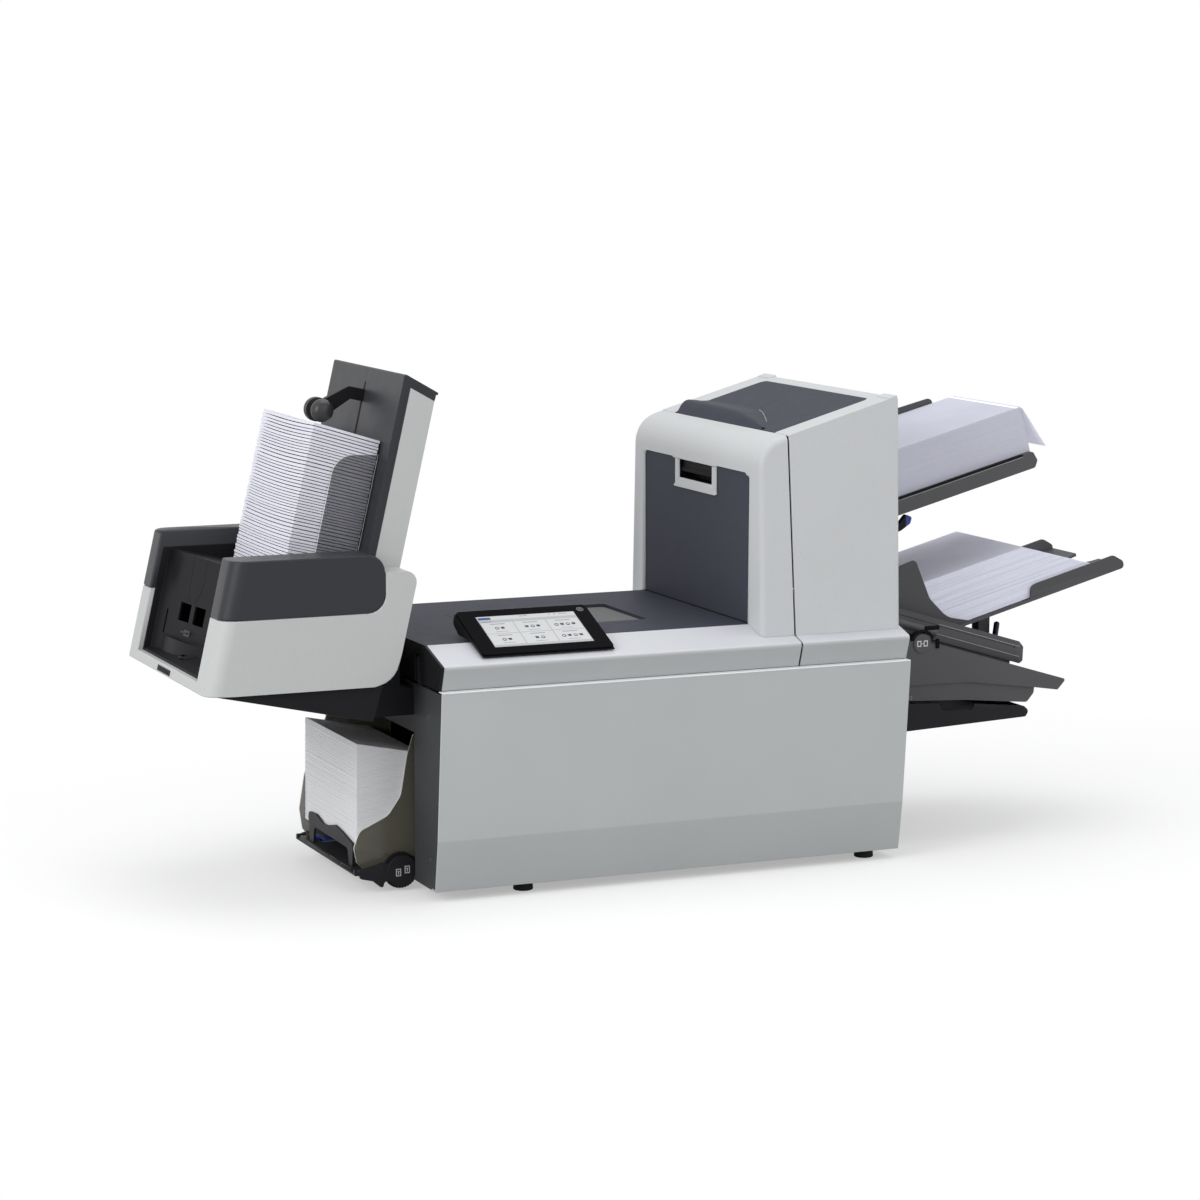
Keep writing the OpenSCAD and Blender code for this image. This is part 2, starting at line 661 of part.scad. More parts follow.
// Dark inner plate of the tower with the feed slots, the roller cheeks and the ears of the upper lever
module throat_block() color(soot) difference() {
    union() {
        block(tower_r - skin - 4, tower_r - skin, -throat_half - 8, throat_half + 8, deck_z + 1,
            roof_end - 26);
        for (z = [middle_z, upper_z]) on_tray(z) both_sides() across(4, cheek_half + 2)
            polygon(soft([[-46, feed_n - 14, 0], [feed_u - 8, feed_n - 8, 0], [feed_u + 8, feed_n - 6, 6],
                          [feed_u + 8, feed_n + 7, 6], [-60, feed_n + 12, 0]]));
        for (s = [-1, 1]) across(4, lever_y + s * 8)
            polygon(soft([[tower_r - skin - 1, lever_z - 10, 0], [lever_x + 8, lever_z - 7, 5],
                [lever_x + 8, lever_z + 7, 5],
                          [tower_r - skin - 1, lever_z + 10, 0]]));
    }
    block(0, tower_r - skin - 4, -cheek_half - 6, cheek_half + 6, 0, roof_end - 40);
    for (z = [middle_z, upper_z]) {
        on_tray(z) translate([feed_u, 0, feed_n]) shaft(shaft_r + run_fit, -big, big);
        on_tray(z) block(-80, 30, -sheet_w / 2 - 2, sheet_w / 2 + 2, sheets_t - 5, sheets_t + 9);
    }
    translate([lever_x, lever_y, lever_z]) shaft(3 + run_fit, -20, 20);
}

// Feed roller: three rubber rings on a shaft
module feed_roller(z) on_tray(z) translate([feed_u, 0, feed_n]) {
    shaft(shaft_r, -cheek_half - 6, cheek_half + 6);
    for (y = [-30, 0, 30]) translate([0, y, 0]) shaft(feed_r, -9, 9);
    shaft(feed_r - 6, -38, 38);
}
module upper_feed_roller() color(soot) feed_roller(upper_z);
module middle_feed_roller() color(soot) feed_roller(middle_z);

// Display

glass_t = 3;
near_y = pivot_y - 74;
near_z = max(deck_z - 10, belt_z + max(0, half + near_y) * slope_k + 7.5);

// Frame of the display: origin at the middle of the glass's near edge, Y up the glass, Z out of it
module on_display() translate([display_x, near_y, near_z]) rotate([display_tilt, 0, 0]) children();

pivot_v = (pivot_y - near_y) * cos(display_tilt) + (pivot_z - near_z) * sin(display_tilt);
pivot_n = -(pivot_y - near_y) * sin(display_tilt) + (pivot_z - near_z) * cos(display_tilt);
button_u = glass_w / 2 - 13;
button_v = glass_d - 14;
button_r = 6;

module display_housing() color(soot) {
    difference() {
        on_display() translate([-glass_w / 2, 0, 0]) lengthwise(glass_w)
            polygon(soft([[0, -glass_t, 0], [glass_d, -glass_t, 0], [glass_d, -housing_t + 4, 6],
                          [glass_d - 26, -housing_t, 10], [glass_d * 0.44, -glass_t - 5.5, 20],
                          [0, -glass_t - 2, 0]]));
        on_display() translate([button_u, button_v, -glass_t - 5]) cylinder(r = button_r + run_fit, h = 10);
        on_display() for (x = [-pivot_span, pivot_span - 12])
            translate([x - 0.6, pivot_v, pivot_n]) rotate([0, 90, 0]) cylinder(r = 24, h = 13.2);
    }
    translate([display_x - pivot_span - 4, pivot_y, pivot_z]) rotate([0, 90, 0])
        cylinder(r = pivot_r, h = 2 * pivot_span + 8);
}

module display_glass() color(soot) on_display() difference() {
    translate([0, 0, -glass_t]) linear_extrude(glass_t)
        polygon(soft([[-glass_w / 2, 0, 7], [glass_w / 2, 0, 7], [glass_w / 2, glass_d, 7],
            [-glass_w / 2, glass_d, 7]]));
    translate([button_u, button_v, -glass_t - 1]) cylinder(r = button_r + 0.4, h = 10);
}

module power_button() color(soot) on_display() translate([button_u, button_v, -glass_t - 3.5])
    cylinder(r = button_r, h = glass_t + 3.5);

// Stacker

pile_x = -82;
pile_z = stacker_z + 137;
hood_z = stacker_z + shell_h;
hood_top = hood_z + hood_h;
lean = tan(stack_tilt);
stacker_half = stacker_w / 2;
bay_half = stacker_half - arm_w;
back_x = -50;
ear_top = hood_z + 57;
strip_h = 15;
bracket_half = 150;

// Frame of the pile: origin at the foot of the column's face, leaning with the column
module on_stack() translate([pile_x, 0, pile_z]) rotate([0, stack_tilt, 0]) children();
function back_at(z) = back_x + (z - stacker_z) * lean;
function front_at(z) = -stacker_out + (z - stacker_z) * lean;

// Dark wedge under the stacker and the bracket that carries it on the end of the base
module stacker_base() color(soot) difference() {
    union() {
        across(2 * stacker_half - 16) polygon([[-stacker_out + 14, stacker_z], [-80, stacker_z - 52],
            [-66, stacker_z - 4],
                                               [-60, stacker_z]]);
        across(2 * bracket_half) polygon([[-80, stacker_z - 52], [-74, stacker_z - 56], [0, stacker_z - 56],
            [0, frame_top - 8], [-20, frame_top - 4], [-20, belt_z + 12],
            [back_at(belt_z + 12) + seat, belt_z + 12],
            [back_at(stacker_z) + seat, stacker_z], [-110, stacker_z], [-110, stacker_z - 45]]);
    }
    across(2 * stacker_half - 24) polygon([[-stacker_out + 50, stacker_z + 1],
        [-stacker_out + 50, stacker_z - 2],
        [-112, stacker_z - 38], [-112, stacker_z + 1]]);
    block(-108, 1, -exit_w / 2, exit_w / 2, exit_low, exit_high);
}

module hood_outline(grow) polygon(soft([[front_at(hood_z) - 40, hood_z - grow, 0],
    [back_x - 13 + grow, hood_z - grow, 26], [back_x - 13 + grow, hood_top + grow, 26],
    [front_at(hood_top) - 40, hood_top + grow, 0]]));

// Leaning front corners of the arms, rounded about the lean of the shell
module rounded_front(d) leaning() translate([0, 0, -100]) linear_extrude(big)
    polygon(soft([[d, -stacker_half + d, 24], [900, -stacker_half + d, 0],
        [900, stacker_half - d, 0], [d, stacker_half - d, 24]]));
module leaning() translate([-stacker_out, 0, stacker_z]) rotate([0, stack_tilt, 0]) children();

module shell_outline(d) polygon(soft([[-stacker_out - 60, stacker_z + d, 0],
    [back_x - d, stacker_z + d, 40],
    [back_at(ear_top) - d, ear_top - d, 16], [-stacker_out - 20, ear_top - d, 0]]));

// Light U-shaped shell with hollow arms, a front strip and an open bay
module stacker_shell() color(shell_grey) difference() {
    intersection() {
        across(stacker_w) shell_outline(0);
        rounded_front(0);
    }
    across(stacker_w + 10) hood_outline(0.4);
    across(2 * bay_half) polygon([[-stacker_out - 80, stacker_z + strip_h],
        [back_x - skin - 4, stacker_z + strip_h],
        [back_at(ear_top) - skin - 4, ear_top - 60], [back_at(ear_top) - skin - 4, big],
        [-stacker_out - 80, big]]);
    across(column_w + 2 * seat) polygon([[-130, hood_z - 90], [back_at(hood_z - 90) - skin, hood_z - 90],
        [back_at(hood_z) - skin, hood_z], [big, hood_z + 8], [big, big], [-130, big]]);
    both_sides() intersection() {
        across(arm_w - 2 * skin, stacker_half - arm_w / 2) polygon([[front_at(stacker_z) + 8,
            stacker_z - 1],
            [back_x - 30, stacker_z - 1], [back_x - 20, hood_z - 4], [front_at(hood_z) + 8, hood_z - 4]]);
        rounded_front(skin);
    }
    block(-stacker_out + 20, back_x - 30, -bay_half - 1, bay_half + 1, stacker_z - 1,
        stacker_z + strip_h - skin);
}

// Dark hood on the arms, open towards the bay
module stacker_hood() color(charcoal) difference() {
    intersection() {
        across(stacker_w) hood_outline(0);
        rounded_front(0);
    }
    block(-stacker_out, big, -bay_half, bay_half, 0, big);
    block(-108, big, -column_w / 2 - seat, column_w / 2 + seat, 0, big);
    both_sides() intersection() {
        across(arm_w - 2 * skin, stacker_half - arm_w / 2) polygon([[front_at(hood_z) + 8, hood_z - 1],
            [back_x - 40, hood_z - 1], [back_x - 40, hood_top - 14], [-118, hood_top - skin],
            [front_at(hood_top) + 8, hood_top - skin]]);
        rounded_front(skin);
    }
}

column_foot = 60;
platform_n = -15.5;
bay_w = 2 * bay_half - 2 * seat;
bay_floor = stacker_z + strip_h;
bay_rim = hood_top - 22;
plate_far = 17;
plate_near = 97;
plate_turn = atan((plate_near - plate_far) / bay_w);
plate_more = (plate_near - plate_far) / 2;

// Plan of the mechanism box behind its oblique front plate, drawn in by the distance d
module box_plan(d) leaning() translate([0, 0, -100]) linear_extrude(big)
    polygon([[plate_near + d + plate_more, -bay_w], [900, -bay_w], [900, bay_w],
        [plate_far + d - plate_more, bay_w]]);

// Frame of the front plate: origin at its far foot, X into the box, -Y along the plate, Z up its lean
module on_plate() leaning() translate([plate_far, bay_w / 2, 0]) rotate([0, 0, plate_turn]) children();

// Outline of the space behind the plate that the shell leaves free
module bay_side() polygon([[-stacker_out, bay_floor], [back_x - skin - 4 - seat, bay_floor],
    [back_at(ear_top) - skin - 4 - seat, ear_top - 60], [back_at(ear_top) - skin - 4 - seat, big],
    [-stacker_out, big]]);

// Line of the column's face, a little in front of it
function face_at(z) = pile_x - 2.4 + (z - pile_z) * lean;

// Dark mechanism box under the pile: windowed front plate, side walls, sloping floor and rounded step
module stacker_platform() color(soot) difference() {
    union() {
        intersection() {
            on_stack() across(big) polygon([[-big, -200], [-big, platform_n], [-2 - seat, platform_n],
                [-2 - seat, -column_foot], [column_t + 2, -column_foot], [column_t + 2, -200]]);
            across(bay_w) bay_side();
            box_plan(0);
        }
        both_sides() across(4, bay_w / 2 - 2) polygon([[front_at(bay_floor) + 8, bay_floor],
            [face_at(bay_floor), bay_floor], [face_at(bay_rim), bay_rim],
            [front_at(bay_rim) + 8, bay_rim]]);
        across(bay_w) polygon([[-stacker_out + 12, bay_floor], [-220, bay_floor], [-220, bay_floor + 18],
            [-stacker_out + 13, bay_floor + 3]]);
        intersection() {
            on_plate() intersection() {
                translate([218, -118, 0]) cylinder(r = 234, h = 49);
                block(-20, 3, -204, -32, -20, 49);
            }
            block(-stacker_out, 0, -bay_w / 2 + 1, bay_w / 2 - 1, bay_floor + 1, big);
        }
    }
    intersection() {
        on_stack() across(big) polygon([[-big, -200], [-big, platform_n - 4],
            [-7 - seat, platform_n - 4],
            [-7 - seat, -column_foot - 5], [column_t - 14, -column_foot - 5], [column_t - 30, -200]]);
        block(-stacker_out, back_x - skin - 10, -bay_w / 2 + 4.4, bay_w / 2 - 4.4, bay_floor - 1, big);
        box_plan(4.2);
    }
    on_plate() {
        for (y = [-79, -120]) block(-1, 8, y - 15, y + 15, 76, 103);
        block(-1, 8, -33, -28.5, 50, 87);
        lengthwise(2, -1) polygon([[-76.5, 200], [-79, 126.5], [-89, 106], [-90.2, 106],
            [-80.2, 126.8], [-77.7, 200]]);
        lengthwise(2, -1) polygon([[-114, 200], [-116, 126.5], [-101, 106], [-99.8, 106],
            [-114.8, 126.8], [-112.8, 200]]);
    }
    on_stack() for (y = [-75, 75]) block(-90, -20, y - 14, y + 14, platform_n - 3, platform_n + 1);
}

slot_w = 5;
slot_top = column_h - 24;
column_cut = tan(17);

cap_over = 3;
cap_t = 4;

// Hollow column with the slot that the pile arm runs in and a thin cap that stands over at the back
module column() color(charcoal) on_stack() difference() {
    back = column_h - column_t * column_cut;
    across(column_w) polygon(soft([[0, -column_foot + seat, 0], [column_t, -column_foot + seat, 0],
        [column_t, back - cap_t, 0], [column_t + cap_over, back - cap_t - cap_over * column_cut, 0],
        [column_t + cap_over, back - cap_over * column_cut, 1], [0, column_h, 3]]));
    block(3.5, column_t - 3.5, -32, 32, 8, slot_top + 4);
    block(-1, 10, -slot_w / 2, slot_w / 2, 14, slot_top);
    both_sides() across(4, column_w / 2) column_panel_outline(0.4);
    both_sides() block(3.5, column_t - 3.5, 36, column_w / 2 - 6, -column_foot - 1, back - 8);
}

module column_panel_outline(grow) polygon([[13 - grow, -column_foot + 34],
    [column_t + 1, -column_foot + 34],
    [column_t + 1, column_h - 14 - column_t * column_cut + grow],
    [13 - grow, column_h - 14 - 13 * column_cut + grow]]);

module column_panels() color(shell_grey) on_stack() both_sides() intersection() {
    across(1.8, column_w / 2 - 1.1) column_panel_outline(0);
    block(0, column_t, 0, big, -big, big);
}

module pile_guides() color(smoke) on_stack() both_sides()
    across(2, envelope_l / 2 + paper_fit + 1 + seat)
        polygon(soft([[-66, platform_n + seat, 0], [-66, 178, 34], [-2, 190, 0],
            [-2, platform_n + seat, 0]]));

function pile_at(u) = pile_h - (u + 2) * pile_rise / envelope_h;

module output_pile() color(paper_white) on_stack() across(envelope_l)
    polygon([[-envelope_h - 2, platform_n + seat], [-2, platform_n + seat], [-2, pile_at(-2)],
             [-envelope_h - 2, pile_at(-envelope_h - 2)]]);

hub_u = -62;
hub_n = pile_at(hub_u) + ball_r / cos(atan(pile_rise / envelope_h)) + 0.4;
arm_n = hub_n + 34;
axle_r = 3;

// Bent arm with the carriage that slides inside the column
module pile_arm() color(soot) on_stack() difference() {
    union() {
        across(12) polygon(soft([[-20, arm_n - 9, 3], [-0.6, arm_n - 9, 0], [-0.6, arm_n + 9, 0],
            [-26, arm_n + 9, 10], [hub_u - 7, hub_n + 9, 7], [hub_u - 7, hub_n - 8, 7],
            [hub_u + 9, hub_n - 8, 7]]));
        block(-1, 8, -slot_w / 2 + 0.4, slot_w / 2 - 0.4, arm_n - 7.5, arm_n + 7.5);
        block(7, column_t - 7, -26, 26, arm_n - 16, arm_n + 8);
    }
    translate([hub_u, 0, hub_n]) shaft(axle_r + run_fit, -20, 20);
}

// Ball and grooved roller on the arm's axle
module pile_roller() color(soot) on_stack() translate([hub_u, 0, hub_n]) {
    shaft(axle_r, -9, 9);
    rotate([90, 0, 0]) rotate_extrude() polygon(soft([[0, 6.6, 0], [ball_r - 4, 6.6, 4], [ball_r, 15, 8],
        [ball_r - 5, 27, 9], [0, 30, 0]]));
    rotate([-90, 0, 0]) rotate_extrude() polygon(soft([[0, 6.6, 0], [ball_r, 6.6, 1], [ball_r, 10.6, 1],
        [ball_r - 3, 12.1, 0.5], [ball_r, 13.6, 1], [ball_r, 17.6, 1], [0, 17.6, 0]]));
}

// Hopper

hopper_drop = 0.2035;
hopper_left = -80;
hopper_seat = 62;
function hopper_at(x) = hopper_seat - (x - hopper_left) * hopper_drop;
tray_low = foot_h + 9;
tray_top = foot_h + 19;
hopper_half = envelope_l / 2 + 16.4;
wheel_x = -17;
wheel_z = foot_h + 14;
wheel_r = 27;
roller_x = 14;
roller_r = 10;
roller_z = hopper_at(roller_x) - roller_r * sqrt(1 + hopper_drop * hopper_drop) - 0.4;

seat_x = -30;
blue_x = -40;
blue_y = 88;
blue_z = tray_top - 3;
blue_half = 19;

// Hopper floor with its sloping seat, an arched stop plate and two side cheeks
module hopper_tray() color(soot) difference() {
    union() {
        across(2 * hopper_half) polygon(soft([[-89, tray_low + 2, 2], [96, tray_low, 0], [96, tray_top, 0],
            [-89, tray_top + 1, 2]]));
        across(envelope_l - 36) polygon([[seat_x, tray_top - 1], [54, tray_top - 1], [54, hopper_at(54)],
            [seat_x, hopper_at(seat_x)]]);
        hopper_stop();
        for (y = [-hopper_half - 2, hopper_half + 2]) across(4, y) hopper_cheek();
        translate([wheel_x, 0, wheel_z]) shaft(wheel_r - 4, -hopper_half - 7, -hopper_half);
    }
    translate([wheel_x, 0, wheel_z]) shaft(3 + run_fit, -hopper_half - 5, -hopper_half + 4);
    translate([wheel_x, 0, wheel_z]) shaft(wheel_r + 1, -hopper_half - 0.01, -hopper_half + 7);
    translate([roller_x, 0, roller_z]) shaft(shaft_r + run_fit, -hopper_half - 5, hopper_half + 3);
    translate([roller_x, 0, roller_z]) shaft(shaft_r + 2, -hopper_half - 0.01, hopper_half - 0.01);
    translate([roller_x, 0, roller_z]) shaft(roller_r + 2, -72, 72);
    for (y = [-70, -20]) block(-92, -60, y - 2, y + 2, tray_top - 3, tray_top + 1.5);
    block(blue_x - 32, blue_x + 6, blue_y - blue_half - 1, blue_y + blue_half + 1, tray_top - 6,
        tray_top + 9);
    translate([blue_x, blue_y, blue_z]) shaft(1.5 + run_fit, -blue_half - 5, blue_half + 5);
    both_sides() block(-92, big, envelope_l / 2 - 0.5, envelope_l / 2 + 10, tray_top - 4, big);
}

// Side cheek of the hopper with a hooked foot
module hopper_cheek() polygon(soft([[-82, tray_low - 2, 4], [-62, tray_low - 7, 3], [-50, foot_h - 8, 2],
    [-46, foot_h - 8, 2], [-44, tray_low - 9, 4], [-14, tray_low - 9, 4], [-5, hopper_mouth_z + seat, 0],
    [96, hopper_mouth_z + seat, 0], [96, tray_top + 8, 0], [-50, tray_top + 8, 4], [-82, tray_top, 4]]));

// Arch with two leaf-shaped humps that stops the lowest envelopes, and the ledge that they lie on
module hopper_stop() {
    low = hopper_seat - 2;
    lengthwise(3, hopper_left - 4.2) polygon(soft([[-112, tray_top - 1, 0], [-98, tray_top - 1, 0],
        [-92, low, 10],
        [62, low + 2, 10], [68, tray_top - 1, 0], [86, tray_top - 1, 0], [92, low + 20, 8],
        [56, low + 22, 14],
        [22, low + 14, 10], [4, low + 15, 8], [-34, low + 23, 16], [-66, low + 19, 14],
        [-117, low + 10, 6]]));
    across(150, -15) polygon([[hopper_left - 3, low], [hopper_left + 8, low],
        [hopper_left + 8, hopper_at(hopper_left + 8)], [hopper_left - 3, hopper_at(hopper_left - 3)]]);
}

hopper_right = hopper_left + envelope_h * 0.98;

module hopper_pile() color(paper_white) across(envelope_l)
    polygon([[hopper_left, hopper_at(hopper_left) + 0.3], [hopper_right, hopper_at(hopper_right) + 0.3],
             [hopper_right + 2, hopper_at(hopper_right) + hopper_h],
             [hopper_left + 2, hopper_at(hopper_left) + hopper_h]]);

guide_t = 2.5;
guide_y = envelope_l / 2 + paper_fit + guide_t / 2;

// Near guide with an S-shaped free edge, cut low so that the pile can be taken
module hopper_guide_near() color(smoke) across(guide_t, -guide_y)
    polygon(soft([[60, tray_top + 2, 0], [60, 228, 0], [8, 228, 3], [-2, 196, 0], [-12, 138, 30],
        [-32, 110, 24],
        [-76, 90, 16], [-85, 66, 14], [-81, 44, 4], [-70, tray_top - 3, 0],
        [-38, tray_top - 3, 0], [-34, tray_top + 2, 0]]));
// Far guide, tall over the whole pile
module hopper_guide_far() color(smoke) across(guide_t, guide_y)
    polygon(soft([[60, tray_top + 2, 0], [60, 228, 0], [-40, 228, 24], [-80, 130, 40], [-88.5, 78, 20],
        [-84, 47, 6],
        [-72, tray_top - 3, 0], [-38, tray_top - 3, 0], [-34, tray_top + 2, 0]]));

module knurled(r, y0, y1, n) difference() {
    shaft(r, y0, y1);
    for (i = [0:n - 1]) rotate([0, i * 360 / n, 0]) translate([r + 0.6, 0, 0]) shaft(1.4, y0 - 1, y1 + 1);
}

module hopper_wheel() color(soot) translate([wheel_x, 0, wheel_z]) {
    knurled(wheel_r, -hopper_half + 0.6, -hopper_half + 5.6, 36);
    shaft(3, -hopper_half - 4.5, -hopper_half + 0.6);
}

module hopper_lever() color(signal_blue) translate([blue_x, blue_y, blue_z]) {
    shaft(1.5, -blue_half - 4, blue_half + 4);
    across(2 * blue_half) polygon(soft([[-26, -1, 1], [3, -1.2, 0.8], [3, 2.5, 1.5], [-6, 5, 2], [-27, 8, 2]]));
}

module envelope_roller() color(soot) translate([roller_x, 0, roller_z]) {
    shaft(shaft_r, -hopper_half - 3, hopper_half + 2);
    for (y = [-45, 0, 45]) translate([0, y, 0]) shaft(roller_r, -14, 14);
}

// Sheet trays

guide_half = sheet_w / 2 + paper_fit;
// Place along a tray of the upright line that stands x past the end of the base, at the height n over
// the floor
function upright(n, x) = (x + n * sin(tray_tilt)) / cos(tray_tilt);
rail_w = 10;

module tray_floor(l, w) linear_extrude(tray_t) polygon(soft([[1, -w / 2, 0], [l, -w / 2, 8],
    [l, w / 2, 8], [1, w / 2, 0]]));

// Upper tray: ribbed floor, a near rail and a far runner for its side guide
module upper_tray() color(charcoal) {
    upper_pan();
    block(tower_r - skin, body_l + 7, -guide_half - rail_w + 2, guide_half + rail_w - 2, upper_z - 18,
        upper_z - 1);
}
module upper_pan() on_tray(upper_z) difference() {
    w = 2 * guide_half + 2 * rail_w;
    union() {
        translate([0, 0, -tray_t]) tray_floor(upper_l, w);
        across(rail_w, -guide_half - rail_w / 2) polygon(soft([[2, -15, 0], [upper_l - 6, -15, 5],
            [upper_l + 1, -5, 5],
            [upper_l - 4, 11, 5], [5, 11, 0]]));
        across(rail_w, guide_half + rail_w / 2) polygon(soft([[2, -15, 0], [upper_l - 6, -15, 5],
            [upper_l + 1, -5, 5],
            [upper_l - 4, -0.3, 0], [2, -0.3, 0]]));
        across(w) polygon(soft([[1, -15, 0], [14, -15, 4], [20, -tray_t, 0], [3, -tray_t, 0]]));
    }
    for (y = [-60, 0, 60]) block(40, upper_l - 40, y - 8, y + 8, -1.5, 1);
    translate([upper_l, 0, -big / 2]) cylinder(r = 30, h = big);
    block(70, 78, guide_half - 0.6, guide_half + 8.6, -big, big);
}

// Tall far guide of the upper tray, on a tongue that runs in the tray's slot
module upper_guide_far() color(charcoal) on_tray(upper_z) {
    across(2.5, guide_half + 1.25) polygon(soft([[upright(0, -2), 0.3, 0], [212, 0.3, 30],
        [262, 70, 20], [270, 92, 8],
        [upright(96, -2), 96, 4]]));
    block(70.4, 77.6, guide_half, guide_half + 1.2, -tray_t - 1.5, 0.4);
}

// Loose stack with one sheet that droops over its end
module upper_sheets() color(paper_white) on_tray(upper_z) across(sheet_w)
    polygon([[sheet_u, 0.3], [sheet_end, 0.3], [sheet_end - 3, sheets_t - 6], [sheet_end + 22, 26],
             [sheet_end + 24, 27], [sheet_end + 2, sheets_t - 1], [sheet_end - 4, sheets_t],
             [sheet_u, sheets_t]]);
sheet_u = 27;
sheet_end = sheet_u + sheet_l;

lip_h = 20;
lip_u = 306;
function tray_under(x) = middle_z - tray_t / cos(tray_tilt) + (x - body_l) * tan(tray_tilt);

// Middle tray: thin floor, two end lips and the post that props it on the insert feeder
module middle_tray() color(charcoal) difference() {
    w = 2 * guide_half + 8;
    union() {
        on_tray(middle_z) {
            translate([0, 0, -tray_t]) tray_floor(middle_l, w);
            both_sides() across(3.5, guide_half + 1.75) polygon(soft([[lip_u, -tray_t, 0],
                [middle_l, -tray_t, 6],
                [middle_l + 0.5, lip_h - 14, 8], [middle_l - 14, lip_h, 9], [lip_u + 6, lip_h, 12]]));
        }
        across(22) polygon([[post_x, floor_at(post_x) + seat], [post_x + 21, floor_at(post_x + 21) + seat],
            [post_x + 21, tray_under(post_x + 21) + 1], [post_x, tray_under(post_x) + 1]]);
    }
    on_tray(middle_z) {
        translate([middle_l, 0, -big / 2]) cylinder(r = 34, h = big);
        for (y = [-60, 0, 60]) block(60, middle_l - 80, y - 8, y + 8, -1.5, 1);
        both_sides() block(40, 48, guide_half - 0.6, guide_half + 8, -big, big);
    }
}

module middle_guide() {
    across(2.5, guide_half + 1.25) polygon(soft([[upright(0, 3), 0.3, 0], [195, 0.3, 0], [158, 18, 40],
        [136, 56, 30],
        [127, 124, 7], [upright(118, 3), 118, 4]]));
    block(40.4, 47.6, guide_half, guide_half + 1.2, -tray_t - 1.5, 0.4);
}
module middle_guide_far() color(charcoal) on_tray(middle_z) middle_guide();
module middle_guide_near() color(charcoal) on_tray(middle_z) mirror([0, 1, 0]) middle_guide();

// Fanned stack: the lowest sheet reaches furthest out of the machine
module middle_sheets() color(paper_white) on_tray(middle_z) across(sheet_w)
    polygon([[sheet_u + 6 + fan_out, 0.3], [sheet_end + 6 + fan_out, 0.3], [sheet_end + 6, sheets_t],
             [sheet_u + 6, sheets_t]]);

lever_x = tower_r + 9;
lever_y = -96;
lever_z = upper_z - 34;

// Separator release under the upper tray
module upper_lever() color(signal_blue) translate([0, lever_y, 0]) {
    translate([lever_x, 0, lever_z]) shaft(3, -10, 10);
    translate([lever_x, 0, lever_z]) across(10) polygon(soft([[-5, -5, 3], [28, -5, 4], [50, 1, 6],
        [68, 8, 6],
        [83, 18, 4], [85.5, 27.5, 3], [76, 32, 3], [63, 17, 6], [46, 10, 6], [24, 5, 6], [-5, 5, 3]]));
}

// Insert feeder

insert_drop = 0.305;
insert_top = 346;
insert_z = 258;
insert_fall = 0.055;
insert_l = 335;
insert_end = body_l + insert_l;
insert_bend = body_l + 112;
belly_bend = body_l + 158;
belly_end = body_l + 282;
floor_end = body_l + 312;
post_x = body_l + 260;
function insert_at(x) = insert_top - (x - body_l) * insert_drop;
function floor_at(x) = insert_z - (x - body_l) * insert_fall;
insert_wheel_x = body_l + 77;
insert_wheel_z = insert_at(insert_wheel_x) - 6;
insert_wheel_r = 18;
insert_plate = 4;

// Side plate, outline in X and Z
module insert_side() polygon(soft([[body_l + seat, insert_at(insert_bend) + 20, 0],
    [insert_bend, insert_at(insert_bend), 60], [insert_end, insert_at(insert_end), 3],
    [insert_end - 15, insert_at(insert_end) - 16, 3], [belly_end - 1, 234, 30], [belly_bend, 251, 60],
    [body_l + seat, 252, 0]]));
module insert_belly() polygon(soft([[body_l + seat, 300, 0], [belly_end, insert_at(belly_end) - 8, 0],
    [belly_end - 3, 225, 6], [belly_end - 15, 211, 8], [belly_bend, 222, 60], [body_l + seat, 230, 0]]));

// Insert feeder: two tapered side plates, their inner bellies and a ribbed floor
module insert_frame() color(charcoal) difference() {
    inner = insert_half - 2 * insert_plate;
    union() {
        both_sides() across(insert_plate, insert_half - insert_plate / 2) insert_side();
        both_sides() across(insert_plate, insert_half - 1.5 * insert_plate) insert_belly();
        across(2 * inner) insert_strip(body_l + seat, floor_end, -4, 0);
        for (y = [-84:24:84]) across(2, y) insert_strip(body_l + 6, floor_end - 64, -1, 2);
        translate([insert_wheel_x, 0, insert_wheel_z])
            shaft(insert_wheel_r - 3, -insert_half - 2, -insert_half + insert_plate);
        both_sides() across(4, 40) translate([insert_roll_x, floor_at(insert_roll_x)])
            polygon(soft([[-20, -1, 0], [20, -3, 0], [8, 23.5, 5], [-8, 24.5, 5]]));
    }
    translate([insert_wheel_x, 0, insert_wheel_z]) shaft(3 + run_fit, -insert_half, 0);
    translate([insert_wheel_x, 0, insert_wheel_z])
        shaft(insert_wheel_r + 1, -inner - insert_plate - 0.01, -inner + 8);
    translate([insert_roll_x, 0, insert_roll_z]) shaft(shaft_r + run_fit, -60, 60);
    translate([rod_x, rod_y, rod_z]) shaft(2.5 + run_fit, -9, 9);
    block(rod_x - 12, rod_x + 12, rod_y - 5.5, rod_y + 5.5, 0, rod_z + 30);
}
// Strip that follows the floor of the insert feeder between two heights over it
module insert_strip(x0, x1, low, high) polygon([[x0, floor_at(x0) + low], [x1, floor_at(x1) + low],
    [x1, floor_at(x1) + high], [x0, floor_at(x0) + high]]);

insert_roll_r = 14;
insert_roll_x = body_l + 36;
insert_roll_z = floor_at(insert_roll_x) + insert_roll_r + 2.6;

module insert_roller() color(soot) translate([insert_roll_x, 0, insert_roll_z]) {
    shaft(shaft_r, -46, 46);
    for (y = [-20, 20]) translate([0, y, 0]) shaft(insert_roll_r, -9, 9);
}

bar_y = insert_half - 34;
bar_x = body_l + 10;
bar_end = body_l + 272;
bar_low = 4;
bar_lift = 36;

